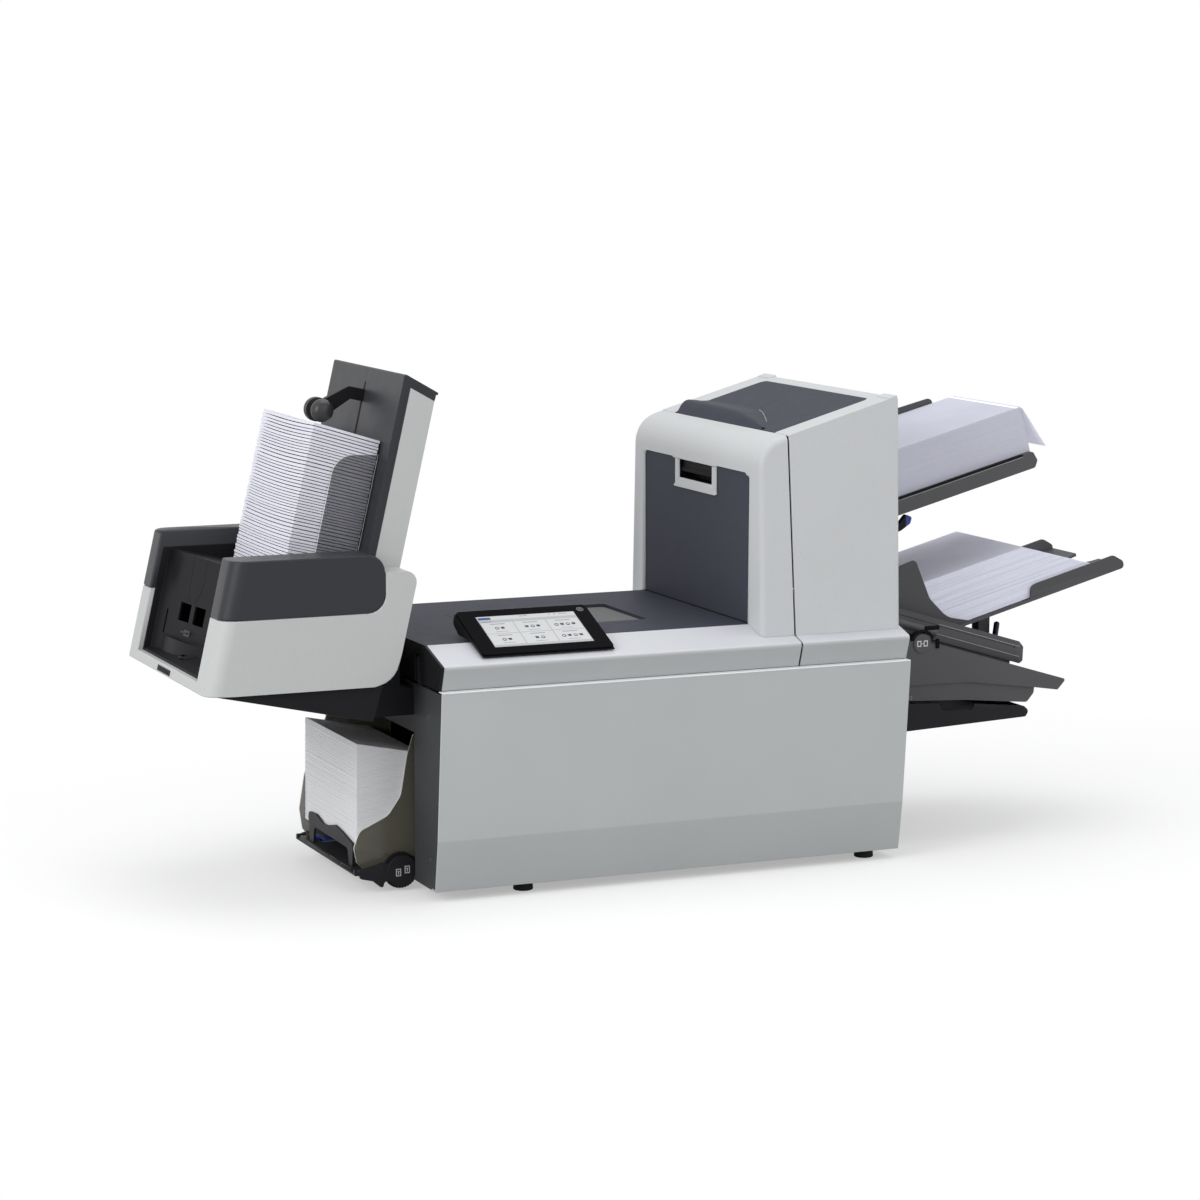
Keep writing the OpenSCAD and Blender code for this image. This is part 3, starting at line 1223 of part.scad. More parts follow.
// Side guide of the insert feeder: a thick grooved bar over a thin skirt that runs on the floor
module insert_guide() difference() {
    union() {
        across(12, bar_y) polygon(soft([[bar_x, insert_at(bar_x) + bar_low, 0],
            [bar_end - 6, insert_at(bar_end - 6) + bar_low, 3],
            [bar_end, insert_at(bar_end) + bar_low + 6, 3],
            [bar_end + 1, insert_at(bar_end) + bar_lift - 4, 4],
            [bar_end - 6, insert_at(bar_end - 6) + bar_lift + 3, 4],
            [bar_x, insert_at(bar_x) + bar_lift + 3, 0]]));
        across(3, bar_y) polygon([[bar_x + 4, floor_at(bar_x + 4) + seat],
            [bar_end - 20, floor_at(bar_end - 20) + seat],
            [bar_end - 20, insert_at(bar_end - 20) + bar_low + 1],
            [bar_x + 4, insert_at(bar_x + 4) + bar_low + 1]]);
    }
    across(3, bar_y + 6) polygon([[body_l, insert_at(body_l) + bar_lift - 10],
        [bar_end - 14, insert_at(bar_end - 14) + bar_lift - 10],
        [bar_end - 14, insert_at(bar_end - 14) + bar_lift - 6],
        [body_l, insert_at(body_l) + bar_lift - 6]]);
}
// Half-round guard on the near bar, over the thumb wheel
module wheel_guard() intersection() {
    translate([bar_x, bar_y + 0.5, insert_at(bar_x) + 16]) rotate([0, 90 + atan(insert_drop), 0])
        cylinder(r = 8.5, h = 112);
    block(bar_x, bar_end, bar_y, bar_y + 20, 0, big);
}
module insert_guide_near() color(charcoal) mirror([0, 1, 0]) {
    insert_guide();
    wheel_guard();
}
module insert_guide_far() color(charcoal) insert_guide();

module insert_wheel() color(soot) translate([insert_wheel_x, 0, insert_wheel_z]) {
    knurled(insert_wheel_r, -insert_half + 2 * insert_plate + 0.6,
        -insert_half + 2 * insert_plate + 5.6, 28);
    shaft(3, -insert_half + 0.5, -insert_half + 2 * insert_plate + 0.6);
}

rod_x = body_l + 278;
rod_y = -20;
rod_z = floor_at(rod_x) - 2;

module lower_lever() color(signal_blue) translate([rod_x, rod_y, rod_z]) {
    shaft(2.5, -8.5, 8.5);
    rotate([0, 8, 0]) translate([0, 0, -2]) rotate_extrude()
        polygon(soft([[0, 0, 0], [3.5, 0, 0], [3.5, 44, 0], [4.7, 50, 2], [4.7, 79, 3], [0, 81, 0]]));
}

scoop_x = body_l + 114;
divert_bend = body_l + 150;
divert_end = body_l + 269;

// Divert tray: shallow tapered tray with finger scoops in its side walls
module divert_tray() color(charcoal) difference() {
    across(2 * insert_half) polygon(soft([[body_l + seat, 226, 0], [divert_bend, 218, 80],
        [divert_end - 9, 206, 5],
        [divert_end, 198, 6], [divert_end - 6, 189, 4], [body_l + seat, 178, 0]]));
    across(2 * insert_half - 8) polygon([[body_l + 6, 184], [divert_end - 13, 193], [divert_end - 13, big],
        [body_l + 6, big]]);
    both_sides() across(10, insert_half)
        polygon(soft([[scoop_x - 8, 240, 0], [scoop_x, 208, 9], [scoop_x + 54, 206, 9],
            [scoop_x + 66, 240, 0]]));
}

placed() chassis();
placed() feet();
placed() front_panel();
placed() rear_panel();
placed() mains_inlet();
placed() main_switch();
placed() path_deck();
placed() fold_roller_lower();
placed() fold_roller_upper();
placed() drive_motor();
placed() upper_trims();
placed() feeder_trim();
placed() upper_end_cap();
placed() top_cover();
placed() idler_plate();
placed() tower_door();
placed() door_panel();
placed() unlock_handle();
placed() tower_shell();
placed() tower_lid();
placed() throat_block();
placed() upper_feed_roller();
placed() middle_feed_roller();
placed() display_housing();
placed() display_glass();
placed() power_button();
placed() stacker_base();
placed() stacker_shell();
placed() stacker_hood();
placed() stacker_platform();
placed() column();
placed() column_panels();
placed() pile_guides();
placed() output_pile();
placed() pile_arm();
placed() pile_roller();
placed() hopper_tray();
placed() hopper_pile();
placed() hopper_guide_near();
placed() hopper_guide_far();
placed() hopper_wheel();
placed() hopper_lever();
placed() envelope_roller();
placed() upper_tray();
placed() upper_guide_far();
placed() upper_sheets();
placed() middle_tray();
placed() middle_guide_near();
placed() middle_guide_far();
placed() middle_sheets();
placed() upper_lever();
placed() insert_frame();
placed() insert_roller();
placed() insert_guide_near();
placed() insert_guide_far();
placed() insert_wheel();
placed() lower_lever();
placed() divert_tray();
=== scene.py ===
import json
import math
import random

import bmesh
import bpy
from mathutils import Matrix, Vector
from mathutils.bvhtree import BVHTree


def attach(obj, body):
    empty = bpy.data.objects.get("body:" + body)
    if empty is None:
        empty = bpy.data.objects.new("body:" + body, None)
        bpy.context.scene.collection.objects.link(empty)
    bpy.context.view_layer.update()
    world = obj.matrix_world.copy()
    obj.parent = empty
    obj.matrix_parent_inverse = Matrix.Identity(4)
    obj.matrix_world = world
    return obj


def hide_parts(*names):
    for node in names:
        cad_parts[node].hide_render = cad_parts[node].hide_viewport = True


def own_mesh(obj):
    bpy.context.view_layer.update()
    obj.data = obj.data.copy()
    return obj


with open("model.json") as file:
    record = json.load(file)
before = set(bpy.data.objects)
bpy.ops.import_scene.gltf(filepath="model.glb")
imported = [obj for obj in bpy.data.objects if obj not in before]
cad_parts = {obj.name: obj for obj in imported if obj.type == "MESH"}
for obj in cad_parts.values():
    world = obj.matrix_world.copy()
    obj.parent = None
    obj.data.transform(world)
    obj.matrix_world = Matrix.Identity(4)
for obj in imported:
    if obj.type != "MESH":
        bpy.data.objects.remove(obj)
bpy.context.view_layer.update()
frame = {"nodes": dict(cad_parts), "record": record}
nodes = frame["nodes"]
body_of_node = {n: b for b, group in frame["record"]["behaviour"]["bodies"].items() for n in group}
slot_of_node = {s["node"]: s["material_slot"] for s in frame["record"]["subparts"]}

# Places in the machine: millimetres from the left end of the base, the middle of its width and the desk
MM = 0.001
MIDDLE_X = 443.2881
BASE_END = 752


def at(x, y, z):
    return Matrix.Translation(((x - MIDDLE_X) * MM, y * MM, z * MM)) @ Matrix.Scale(MM, 4)


def turn(degrees, axis):
    return Matrix.Rotation(math.radians(degrees), 4, axis)


def shift(x, y, z):
    return Matrix.Translation((x, y, z))


# Where each group of pieces has its zero, and how it leans
MACHINE = at(0, 0, 0)
STACK = at(-82, 0, 455) @ turn(13, "Y")
STACKER_FRONT = at(-331, 0, 318) @ turn(13, "Y")
BAY_PLATE = STACKER_FRONT @ shift(17, 155.8, 0) @ turn(14.4, "Z")
BAY_FLOOR = at(-286, 17, 340.4)
UPPER_TRAY = at(BASE_END, 0, 512) @ turn(-15, "Y")
MIDDLE_TRAY = at(BASE_END, 0, 288) @ turn(-15, "Y")
GLASS = at(171, -254, 361) @ turn(22, "X")
ROOF = at(563.98, 0, 655.05) @ turn(-16, "Y")
HOPPER_DISC = at(-17, -144.05, 30) @ turn(90, "X")
INSERT_DISC = at(829, -162, 316.5) @ turn(90, "X")


# Finishes

FINE_RELIEF = 0.0002


def start_finish(name):
    m = bpy.data.materials.new(name)
    m.use_nodes = True
    tree = m.node_tree
    tree.nodes.clear()
    out = tree.nodes.new("ShaderNodeOutputMaterial")
    shader = tree.nodes.new("ShaderNodeBsdfPrincipled")
    tree.links.new(shader.outputs["BSDF"], out.inputs["Surface"])
    place = tree.nodes.new("ShaderNodeTexCoord")
    return m, tree, shader, place.outputs["Object"]


def noise(tree, vector, scale, detail, rough=0.5):
    n = tree.nodes.new("ShaderNodeTexNoise")
    n.inputs["Scale"].default_value = scale
    n.inputs["Detail"].default_value = detail
    n.inputs["Roughness"].default_value = rough
    tree.links.new(vector, n.inputs["Vector"])
    return n.outputs["Fac"]


def stretched(tree, vector, scale, turned=(0, 0, 0)):
    """The place, turned first and then stretched."""
    lean = tree.nodes.new("ShaderNodeMapping")
    lean.inputs["Rotation"].default_value = turned
    tree.links.new(vector, lean.inputs["Vector"])
    long = tree.nodes.new("ShaderNodeMapping")
    long.inputs["Scale"].default_value = scale
    tree.links.new(lean.outputs["Vector"], long.inputs["Vector"])
    return long.outputs["Vector"]


def spread(tree, value, low, high, from_low=0.3, from_high=0.7):
    r = tree.nodes.new("ShaderNodeMapRange")
    r.inputs["From Min"].default_value = from_low
    r.inputs["From Max"].default_value = from_high
    r.inputs["To Min"].default_value = low
    r.inputs["To Max"].default_value = high
    tree.links.new(value, r.inputs["Value"])
    return r.outputs["Result"]


def tinted(tree, value, dark, light, low=0.0, high=1.0):
    ramp = tree.nodes.new("ShaderNodeValToRGB")
    ramp.color_ramp.elements[0].color = (*dark, 1)
    ramp.color_ramp.elements[1].color = (*light, 1)
    ramp.color_ramp.elements[0].position = low
    ramp.color_ramp.elements[1].position = high
    tree.links.new(value, ramp.inputs["Fac"])
    return ramp.outputs["Color"]


def times(tree, colour, other):
    mix = tree.nodes.new("ShaderNodeMix")
    mix.data_type = "RGBA"
    mix.blend_type = "MULTIPLY"
    mix.inputs["Factor"].default_value = 1.0
    tree.links.new(colour, mix.inputs["A"])
    tree.links.new(other, mix.inputs["B"])
    return mix.outputs["Result"]


def relief(tree, shader, height, strength, distance=FINE_RELIEF):
    b = tree.nodes.new("ShaderNodeBump")
    b.inputs["Strength"].default_value = strength
    b.inputs["Distance"].default_value = distance
    tree.links.new(height, b.inputs["Height"])
    tree.links.new(b.outputs["Normal"], shader.inputs["Normal"])


def shade(colour, k):
    return tuple(max(0.0, min(1.0, c * k)) for c in colour)


def moulded(name, colour, rough, gloss, grain=1600, depth=0.06, tone=0.015):
    """Moulded plastic: a fine spark-eroded grain, faint cloudiness, specks and uneven gloss."""
    m, tree, shader, place = start_finish(name)
    cloud = noise(tree, place, 6, 4, 0.6)
    clouds = tinted(tree, cloud, shade(colour, 1 - tone), shade(colour, 1 + tone), 0.3, 0.7)
    speck = spread(tree, noise(tree, place, 700, 2), 0.97, 1.03)
    tree.links.new(times(tree, clouds, speck), shader.inputs["Base Color"])
    handled = noise(tree, place, 40, 3, 0.6)
    tree.links.new(spread(tree, handled, rough - 0.02, rough + 0.03), shader.inputs["Roughness"])
    shader.inputs["Specular IOR Level"].default_value = gloss
    relief(tree, shader, noise(tree, place, grain, 2), depth)
    return m


def coated_panel(name, colour, painted_shade_colour, crease):
    """Powder-coated sheet: orange peel, and painted shade: a darker strip below the crease, whose height is
    in metres.
    """
    m, tree, shader, place = start_finish(name)
    parts = tree.nodes.new("ShaderNodeSeparateXYZ")
    tree.links.new(place, parts.inputs["Vector"])
    level = spread(tree, parts.outputs["Z"], 0.0, 1.0, crease - 0.0012, crease + 0.0012)
    shade_band = tinted(tree, level, painted_shade_colour, colour)
    clouds = spread(tree, noise(tree, place, 4, 4, 0.6), 0.97, 1.02)
    tree.links.new(times(tree, shade_band, clouds), shader.inputs["Base Color"])
    tree.links.new(spread(tree, noise(tree, place, 60, 3), 0.42, 0.52), shader.inputs["Roughness"])
    shader.inputs["Specular IOR Level"].default_value = 0.3
    relief(tree, shader, noise(tree, place, 900, 2), 0.08)
    return m


def leafed(name, colour, lean, fine, contrast, depth=0.2, painted_glow=0.0):
    """Edges of stacked paper: thin lines along the leaves, which lean; a single leaf is given a painted glow
    for the light shining through it.
    """
    m, tree, shader, place = start_finish(name)
    thin = stretched(tree, place, (3, 3, fine), (0, math.radians(-lean), 0))
    lines = noise(tree, thin, 1.0, 3, 0.7)
    edges = tinted(tree, lines, shade(colour, 1 - contrast), colour, 0.35, 0.55)
    fibre = spread(tree, noise(tree, place, 350, 3), 0.97, 1.02)
    tree.links.new(times(tree, edges, fibre), shader.inputs["Base Color"])
    tree.links.new(spread(tree, lines, 0.68, 0.82), shader.inputs["Roughness"])
    shader.inputs["Specular IOR Level"].default_value = 0.2
    relief(tree, shader, lines, depth, 2 * FINE_RELIEF)
    if painted_glow:
        shader.inputs["Emission Color"].default_value = (*colour, 1)
        shader.inputs["Emission Strength"].default_value = painted_glow
    return m


def smoked(name, colour, cover, rough=0.12):
    """Smoked clear plastic: tinted, see-through, with faint waviness."""
    m, tree, shader, place = start_finish(name)
    waves = noise(tree, place, 9, 3)
    tree.links.new(tinted(tree, waves, shade(colour, 0.85), shade(colour, 1.15)), shader.inputs["Base Color"])
    tree.links.new(spread(tree, noise(tree, place, 50, 3), rough, rough + 0.1), shader.inputs["Roughness"])
    shader.inputs["Alpha"].default_value = cover
    shader.inputs["Specular IOR Level"].default_value = 0.35
    relief(tree, shader, noise(tree, place, 30, 2), 0.05, 2.5 * FINE_RELIEF)
    return m


def turned_steel(name, colour):
    """Ground steel: fine rings round the roller."""
    m, tree, shader, place = start_finish(name)
    lines = noise(tree, stretched(tree, place, (4, 2500, 4)), 1.0, 2)
    tree.links.new(tinted(tree, lines, shade(colour, 0.85), shade(colour, 1.1)), shader.inputs["Base Color"])
    tree.links.new(spread(tree, lines, 0.25, 0.4), shader.inputs["Roughness"])
    shader.inputs["Metallic"].default_value = 1.0
    return m


def glossy(name, colour, rough, gloss):
    """Polished glass or plastic with faint smears."""
    m, tree, shader, place = start_finish(name)
    smear = noise(tree, place, 25, 4, 0.7)
    tree.links.new(tinted(tree, smear, shade(colour, 0.9), shade(colour, 1.1)), shader.inputs["Base Color"])
    tree.links.new(spread(tree, smear, rough, rough + 0.06), shader.inputs["Roughness"])
    shader.inputs["Specular IOR Level"].default_value = gloss
    relief(tree, shader, noise(tree, place, 60, 2), 0.02)
    return m


def lit(name, colour, strength):
    """Part of the lit picture on the display."""
    m, tree, shader, place = start_finish(name)
    dots = tinted(tree, noise(tree, place, 3000, 1), shade(colour, 0.97), colour)
    tree.links.new(dots, shader.inputs["Base Color"])
    tree.links.new(dots, shader.inputs["Emission Color"])
    shader.inputs["Emission Strength"].default_value = strength
    shader.inputs["Roughness"].default_value = 0.3
    shader.inputs["Specular IOR Level"].default_value = 0.2
    return m


light_shell = moulded("light_shell", (0.5, 0.51, 0.505), rough=0.48, gloss=0.25)
# The tower's shell is the same plastic as light_shell, painted lighter for the stronger light that falls on
# the tower.
tower_shell_painted_lighter = moulded("tower_shell_painted_lighter", (0.56, 0.572, 0.58), rough=0.46, gloss=0.25)
# The trims' fronts, below the crease where the top turns down, are painted darker as shade; the tops keep the
# lighter colour.
trim_shell_shaded_front = coated_panel("trim_shell_shaded_front", (0.61, 0.62, 0.65), (0.45, 0.462, 0.467), 0.3485)
# Near white for the panels' top ledges: a painted highlight line.
lip_painted_highlight = moulded("lip_painted_highlight", (0.85, 0.86, 0.87), rough=0.4, gloss=0.25)
# The panels' strip below their crease is painted darker as shade on the plinth, which leans in and faces
# down.
front_coat_shaded_plinth = coated_panel("front_coat_shaded_plinth", (0.49, 0.505, 0.507), (0.43, 0.444, 0.448), 0.092)
deck_dark = moulded("deck_dark", (0.055, 0.058, 0.076), rough=0.55, gloss=0.05)
hood_dark = moulded("hood_dark", (0.032, 0.033, 0.038), rough=0.38, gloss=0.2)
charcoal = moulded("charcoal", (0.085, 0.085, 0.09), rough=0.48, gloss=0.12)
plate_grey = moulded("plate_grey", (0.085, 0.085, 0.089), rough=0.4, gloss=0.22)
# Light grey for thin beads on dark parts, painted as highlight lines along their edges and creases.
bead_painted_highlight = moulded("bead_painted_highlight", (0.22, 0.22, 0.225), rough=0.35, gloss=0.4)
black = moulded("black", (0.012, 0.012, 0.014), rough=0.42, tone=0.05, gloss=0.1)
deep_black = moulded("deep_black", (0.005, 0.005, 0.006), rough=0.5, tone=0.05, gloss=0.06)
scoop_dark = moulded("scoop_dark", (0.018, 0.018, 0.02), rough=0.45, gloss=0.1)
chassis_coat = moulded("chassis_coat", (0.046, 0.047, 0.05), rough=0.55, grain=700, tone=0.04, gloss=0.1)
rubber = moulded("rubber", (0.02, 0.02, 0.02), rough=0.75, grain=2500, depth=0.3, tone=0.15, gloss=0.15)
pocket_grey = moulded("pocket_grey", (0.17, 0.174, 0.172), rough=0.7, grain=900, depth=0.2, gloss=0.1)
roller_steel = turned_steel("roller_steel", (0.6, 0.61, 0.63))
screw_steel = turned_steel("screw_steel", (0.2, 0.2, 0.21))
smoke = smoked("smoke", (0.13, 0.122, 0.092), 0.68)
clear_smoke = smoked("clear_smoke", (0.05, 0.05, 0.065), 0.3)
# Near white for the narrow faces round the clear guides, a painted highlight along their edges.
clear_rim_painted_highlight = smoked("clear_rim_painted_highlight", (0.85, 0.85, 0.8), 0.92, 0.25)
screen_glass = glossy("screen_glass", (0.003, 0.003, 0.004), 0.08, 0.015)
ball_gloss = glossy("ball_gloss", (0.03, 0.03, 0.031), 0.25, 0.4)
blue_plastic = glossy("blue_plastic", (0.03, 0.05, 0.26), 0.25, 0.35)
night_blue = glossy("night_blue", (0.01, 0.012, 0.045), 0.25, 0.3)
icon_white = moulded("icon_white", (0.7, 0.7, 0.7), rough=0.5, gloss=0.2)
ring_grey = moulded("ring_grey", (0.35, 0.35, 0.36), rough=0.4, gloss=0.3)
filled_paper = leafed("filled_paper", (0.74, 0.74, 0.81), 13, 60, 0.05, depth=0.02)
envelope_paper = leafed("envelope_paper", (0.84, 0.84, 0.85), -11.5, 1500, 0.1)
sheet_paper = leafed("sheet_paper", (0.6, 0.605, 0.69), -15, 2200, 0.1)
# The fanned stack's paper is painted lighter than the upper stack's, against the shade under the upper tray.
fan_paper_painted_lighter = leafed("fan_paper_painted_lighter", (0.83, 0.835, 0.95), -15, 260, 0.16)
# The drooping sheet glows: painted light for the light shining through the single leaf.
droop_paper_painted_glow = leafed("droop_paper_painted_glow", (0.86, 0.86, 0.93), -60, 900, 0.03, painted_glow=0.22)
screen_page = lit("screen_page", (0.42, 0.43, 0.44), 0.08)
screen_box = lit("screen_box", (0.55, 0.56, 0.565), 0.1)
screen_ink = lit("screen_ink", (0.03, 0.033, 0.05), 0.0)
screen_soft_ink = lit("screen_soft_ink", (0.17, 0.18, 0.21), 0.0)
screen_blue = lit("screen_blue", (0.02, 0.07, 0.24), 0.08)

finish_of_slot = {
    "shell_grey": light_shell, "panel_grey": front_coat_shaded_plinth, "charcoal": charcoal, "soot": black,
    "chassis_metal": chassis_coat, "steel": roller_steel, "rubber": rubber, "smoke": smoke,
    "paper": sheet_paper, "screen": screen_glass, "signal_blue": blue_plastic}


# Making pieces

SHARP_ANGLE, HARD_ANGLE = 46, 28
BIG_FACE = 4e-4  # square metres
SAME_PLACE, SAME_PLANE = 2e-6, 0.004  # metres, radians


def settle(name, bm, finish, body, *stands_for, place=None, other=None):
    """Turns a finished bmesh into a piece that rides on a body; faces with index 1 take the other finish."""
    if place is not None:
        bm.transform(place)
    mesh = bpy.data.meshes.new(name)
    bm.to_mesh(mesh)
    bm.free()
    mesh.polygons.foreach_set("use_smooth", [True] * len(mesh.polygons))
    mesh.set_sharp_from_angle(angle=math.radians(SHARP_ANGLE))
    mesh.materials.append(finish)
    if other is not None:
        mesh.materials.append(other)
    piece = bpy.data.objects.new(name, mesh)
    bpy.context.scene.collection.objects.link(piece)
    even = piece.modifiers.new("flat_faces_stay_flat", "WEIGHTED_NORMAL")
    even.mode = "FACE_AREA"
    even.keep_sharp = True
    even.weight = 80
    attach(piece, body)
    if stands_for:
        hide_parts(*stands_for)
    return piece


def round_off(bm, edges, r, segments, clamp=True):
    bmesh.ops.bevel(bm, geom=edges, offset=r, offset_type="OFFSET", segments=segments, profile=0.5,
                    affect="EDGES", clamp_overlap=clamp, material=-1)


def edges_at(verts):
    """The edges at these corners, each once and always in the same order."""
    return list(dict.fromkeys(e for v in verts for e in v.link_edges))


def faces_at(verts):
    return list(dict.fromkeys(f for v in verts for f in v.link_faces))


def hard_edges(bm, r):
    """Edges that are sharp, and long enough to take a round of radius r."""
    hard = []
    for e in bm.edges:
        sharp = len(e.link_faces) == 2 and e.calc_face_angle(0) >= math.radians(HARD_ANGLE)
        if not sharp or e.calc_length() < 2 * r:
            continue
        if min(near.calc_length() for near in edges_at(e.verts) if near is not e) > 2.2 * r:
            hard.append(e)
    return hard


# Solids whose big hollow faces stay in one piece, so that no seam shows in their shading
whole_faces = {"stacker_shell", "stacker_hood", "column"}


def edged(node, finish, edge, broad=None, broad_edge=0.0, rim=None, other=None, split=None):
    """The CAD solid with its hard edges broken by a small round, and chosen ones by a broad one."""
    bm = bmesh.new()
    bm.from_mesh(nodes[node].data)
    bmesh.ops.remove_doubles(bm, verts=bm.verts, dist=SAME_PLACE)
    bmesh.ops.dissolve_limit(bm, angle_limit=math.radians(0.5), verts=bm.verts, edges=bm.edges)
    if node not in whole_faces:
        bmesh.ops.connect_verts_concave(bm, faces=bm.faces)
    if broad is not None:
        chosen = [e for e in bm.edges if len(e.link_faces) == 2 and e.is_convex and broad(e)]
        round_off(bm, chosen, broad_edge * MM, 5, clamp=False)
    round_off(bm, hard_edges(bm, edge * MM), edge * MM, 2, clamp=False)
    cuts = [e for e in bm.edges if len(e.link_faces) == 2 and e.calc_face_angle(1) < SAME_PLANE
            and min(f.calc_area() for f in e.link_faces) > BIG_FACE]
    bmesh.ops.dissolve_edges(bm, edges=cuts, use_verts=False)
    if split is not None:
        bmesh.ops.bisect_plane(bm, geom=bm.verts[:] + bm.edges[:] + bm.faces[:], dist=1e-6,
                               plane_co=split[0], plane_no=split[1])
    if rim is not None:
        for f in bm.faces:
            f.material_index = 1 if rim(f) else 0
    return settle(node + "_finished", bm, finish, body_of_node[node], node, other=other)


def block(bm, x0, x1, y0, y1, z0, z1):
    made = bmesh.ops.create_cube(bm, size=1.0)["verts"]
    bmesh.ops.scale(bm, vec=(x1 - x0, y1 - y0, z1 - z0), verts=made)
    bmesh.ops.translate(bm, vec=((x0 + x1) / 2, (y0 + y1) / 2, (z0 + z1) / 2), verts=made)
    return made


def plate(bm, x0, x1, y0, y1, z0, z1, edge=0.0, segments=1):
    """A plate with broken edges between two corners, added to a bmesh."""
    made = block(bm, x0, x1, y0, y1, z0, z1)
    if edge > 0:
        round_off(bm, edges_at(made), edge, segments)


def rod(bm, start, end, r, sides=16):
    """A round bar with domed ends between two points."""
    a, b = Vector(start), Vector(end)
    way = b - a
    lay = Matrix.Translation((a + b) / 2) @ way.to_track_quat("Z", "Y").to_matrix().to_4x4()
    made = bmesh.ops.create_cone(bm, cap_ends=True, segments=sides, radius1=r, radius2=r, depth=way.length,
                                 matrix=lay)["verts"]
    round_off(bm, [e for e in edges_at(made) if e.calc_face_angle(0) > 1.2], r * 0.4, 2)


def slab(bm, points, low, high, edge=0.0):
    """An outline in X and Y, raised from low to high."""
    face = bm.faces.new([bm.verts.new((x, y, low)) for x, y in points])
    raised = bmesh.ops.extrude_face_region(bm, geom=[face])["geom"]
    tops = [v for v in raised if isinstance(v, bmesh.types.BMVert)]
    bmesh.ops.translate(bm, vec=(0, 0, high - low), verts=tops)
    bmesh.ops.recalc_face_normals(bm, faces=faces_at(tops) + [face])
    if edge > 0:
        round_off(bm, [e for e in edges_at(tops) if all(v in tops for v in e.verts)], edge, 2)


def arc(cx, cy, r, a0, a1, steps):
    span = [math.radians(a0 + (a1 - a0) * i / steps) for i in range(steps + 1)]
    return [(cx + r * math.cos(a), cy + r * math.sin(a)) for a in span]


def round_rect(x0, x1, y0, y1, r):
    middles = ((x1 - r, y0 + r), (x1 - r, y1 - r), (x0 + r, y1 - r), (x0 + r, y0 + r))
    return [p for i, (x, y) in enumerate(middles) for p in arc(x, y, r, 90 * i - 90, 90 * i, 5)]


def hoop(bm, centre, r, tube, a0=0, a1=360, steps=28, sides=8):
    """A ring, or part of one, of round wire about the Z axis."""
    known = set(bm.verts)
    ring = bmesh.ops.create_circle(bm, cap_ends=a1 - a0 < 360, segments=sides, radius=tube,
                                   matrix=turn(90, "X"))["verts"]
    bmesh.ops.translate(bm, vec=(r, 0, 0), verts=ring)
    bmesh.ops.rotate(bm, cent=(0, 0, 0), matrix=turn(a0, "Z").to_3x3(), verts=ring)
    bmesh.ops.spin(bm, geom=edges_at(ring) + faces_at(ring) + ring, cent=(0, 0, 0), axis=(0, 0, 1),
                   angle=math.radians(a1 - a0), steps=steps, use_merge=a1 - a0 >= 360)
    bmesh.ops.remove_doubles(bm, verts=[v for v in bm.verts if v not in known], dist=1e-4)
    made = [v for v in bm.verts if v not in known]
    bmesh.ops.translate(bm, vec=centre, verts=made)
    bmesh.ops.recalc_face_normals(bm, faces=faces_at(made))


def outline_rect(bm, x0, x1, y0, y1, wide, low, high):
    """A thin rectangular frame of four bars."""
    for bar in ((x0, x1, y0, y0 + wide), (x0, x1, y1 - wide, y1), (x0, x0 + wide, y0 + wide, y1 - wide),
                (x1 - wide, x1, y0 + wide, y1 - wide)):
        plate(bm, *bar, low, high)


def pair_of_plates(bm, x0, x1, inner, outer, z0, z1, edge, segments):
    """The same plate on the front and the rear side."""
    for side in (-1, 1):
        y0, y1 = sorted((side * inner, side * outer))
        plate(bm, x0, x1, y0, y1, z0, z1, edge, segments)


# CAD solids that only need finished edges; the choosers below measure in metres

BLUE_FROM = MACHINE @ Vector((830, 0, 0))
HANDLE_HALF, HANDLE_FOOT, HANDLE_HEAD = 0.063, 0.558, 0.602
CREASE_Z, TRIM_Y = 0.349, 0.26
TOWER_END = 0.3025


def facing(f, axis, least):
    return abs(f.normal[axis]) > least


def way_of(e):
    return (e.verts[0].co - e.verts[1].co).normalized()


def door_rim(e):
    """Edges between the side of the tower door and its front or top."""
    side = [facing(f, 1, 0.8) for f in e.link_faces]
    if side[0] == side[1]:
        return False
    outer = e.link_faces[1] if side[0] else e.link_faces[0]
    return outer.normal.x < 0.3 and outer.normal.z > -0.5


def trim_crease(e):
    """The long crease where a trim's top turns down to its front."""
    mid = (e.verts[0].co + e.verts[1].co) / 2
    on_crease = abs(mid.z - CREASE_Z) < 0.003 and abs(mid.y) > TRIM_Y
    return on_crease and abs(way_of(e).x) > 0.95 and e.calc_face_angle(0) > 0.4


def shell_end(e):
    """Upright edges at the right end of the tower."""
    at_end = min(v.co.x for v in e.verts) > TOWER_END and abs(e.verts[0].co.y) > 0.15
    return at_end and abs(way_of(e).z) > 0.9


def clear_edge(f):
    """The narrow faces round a clear guide, which take the painted highlight of its bright edge."""
    return not facing(f, 1, 0.9)


def shaded_handle_cup(f):
    """The hollow behind the paddle handle, painted deeper black as the shade inside it."""
    c = f.calc_center_median()
    return abs(c.y) < HANDLE_HALF and HANDLE_FOOT < c.z < HANDLE_HEAD


def lever_inlay(f):
    """The blue front of the upper lever's tip."""
    return f.calc_center_median().x > BLUE_FROM.x and f.normal.y < -0.9


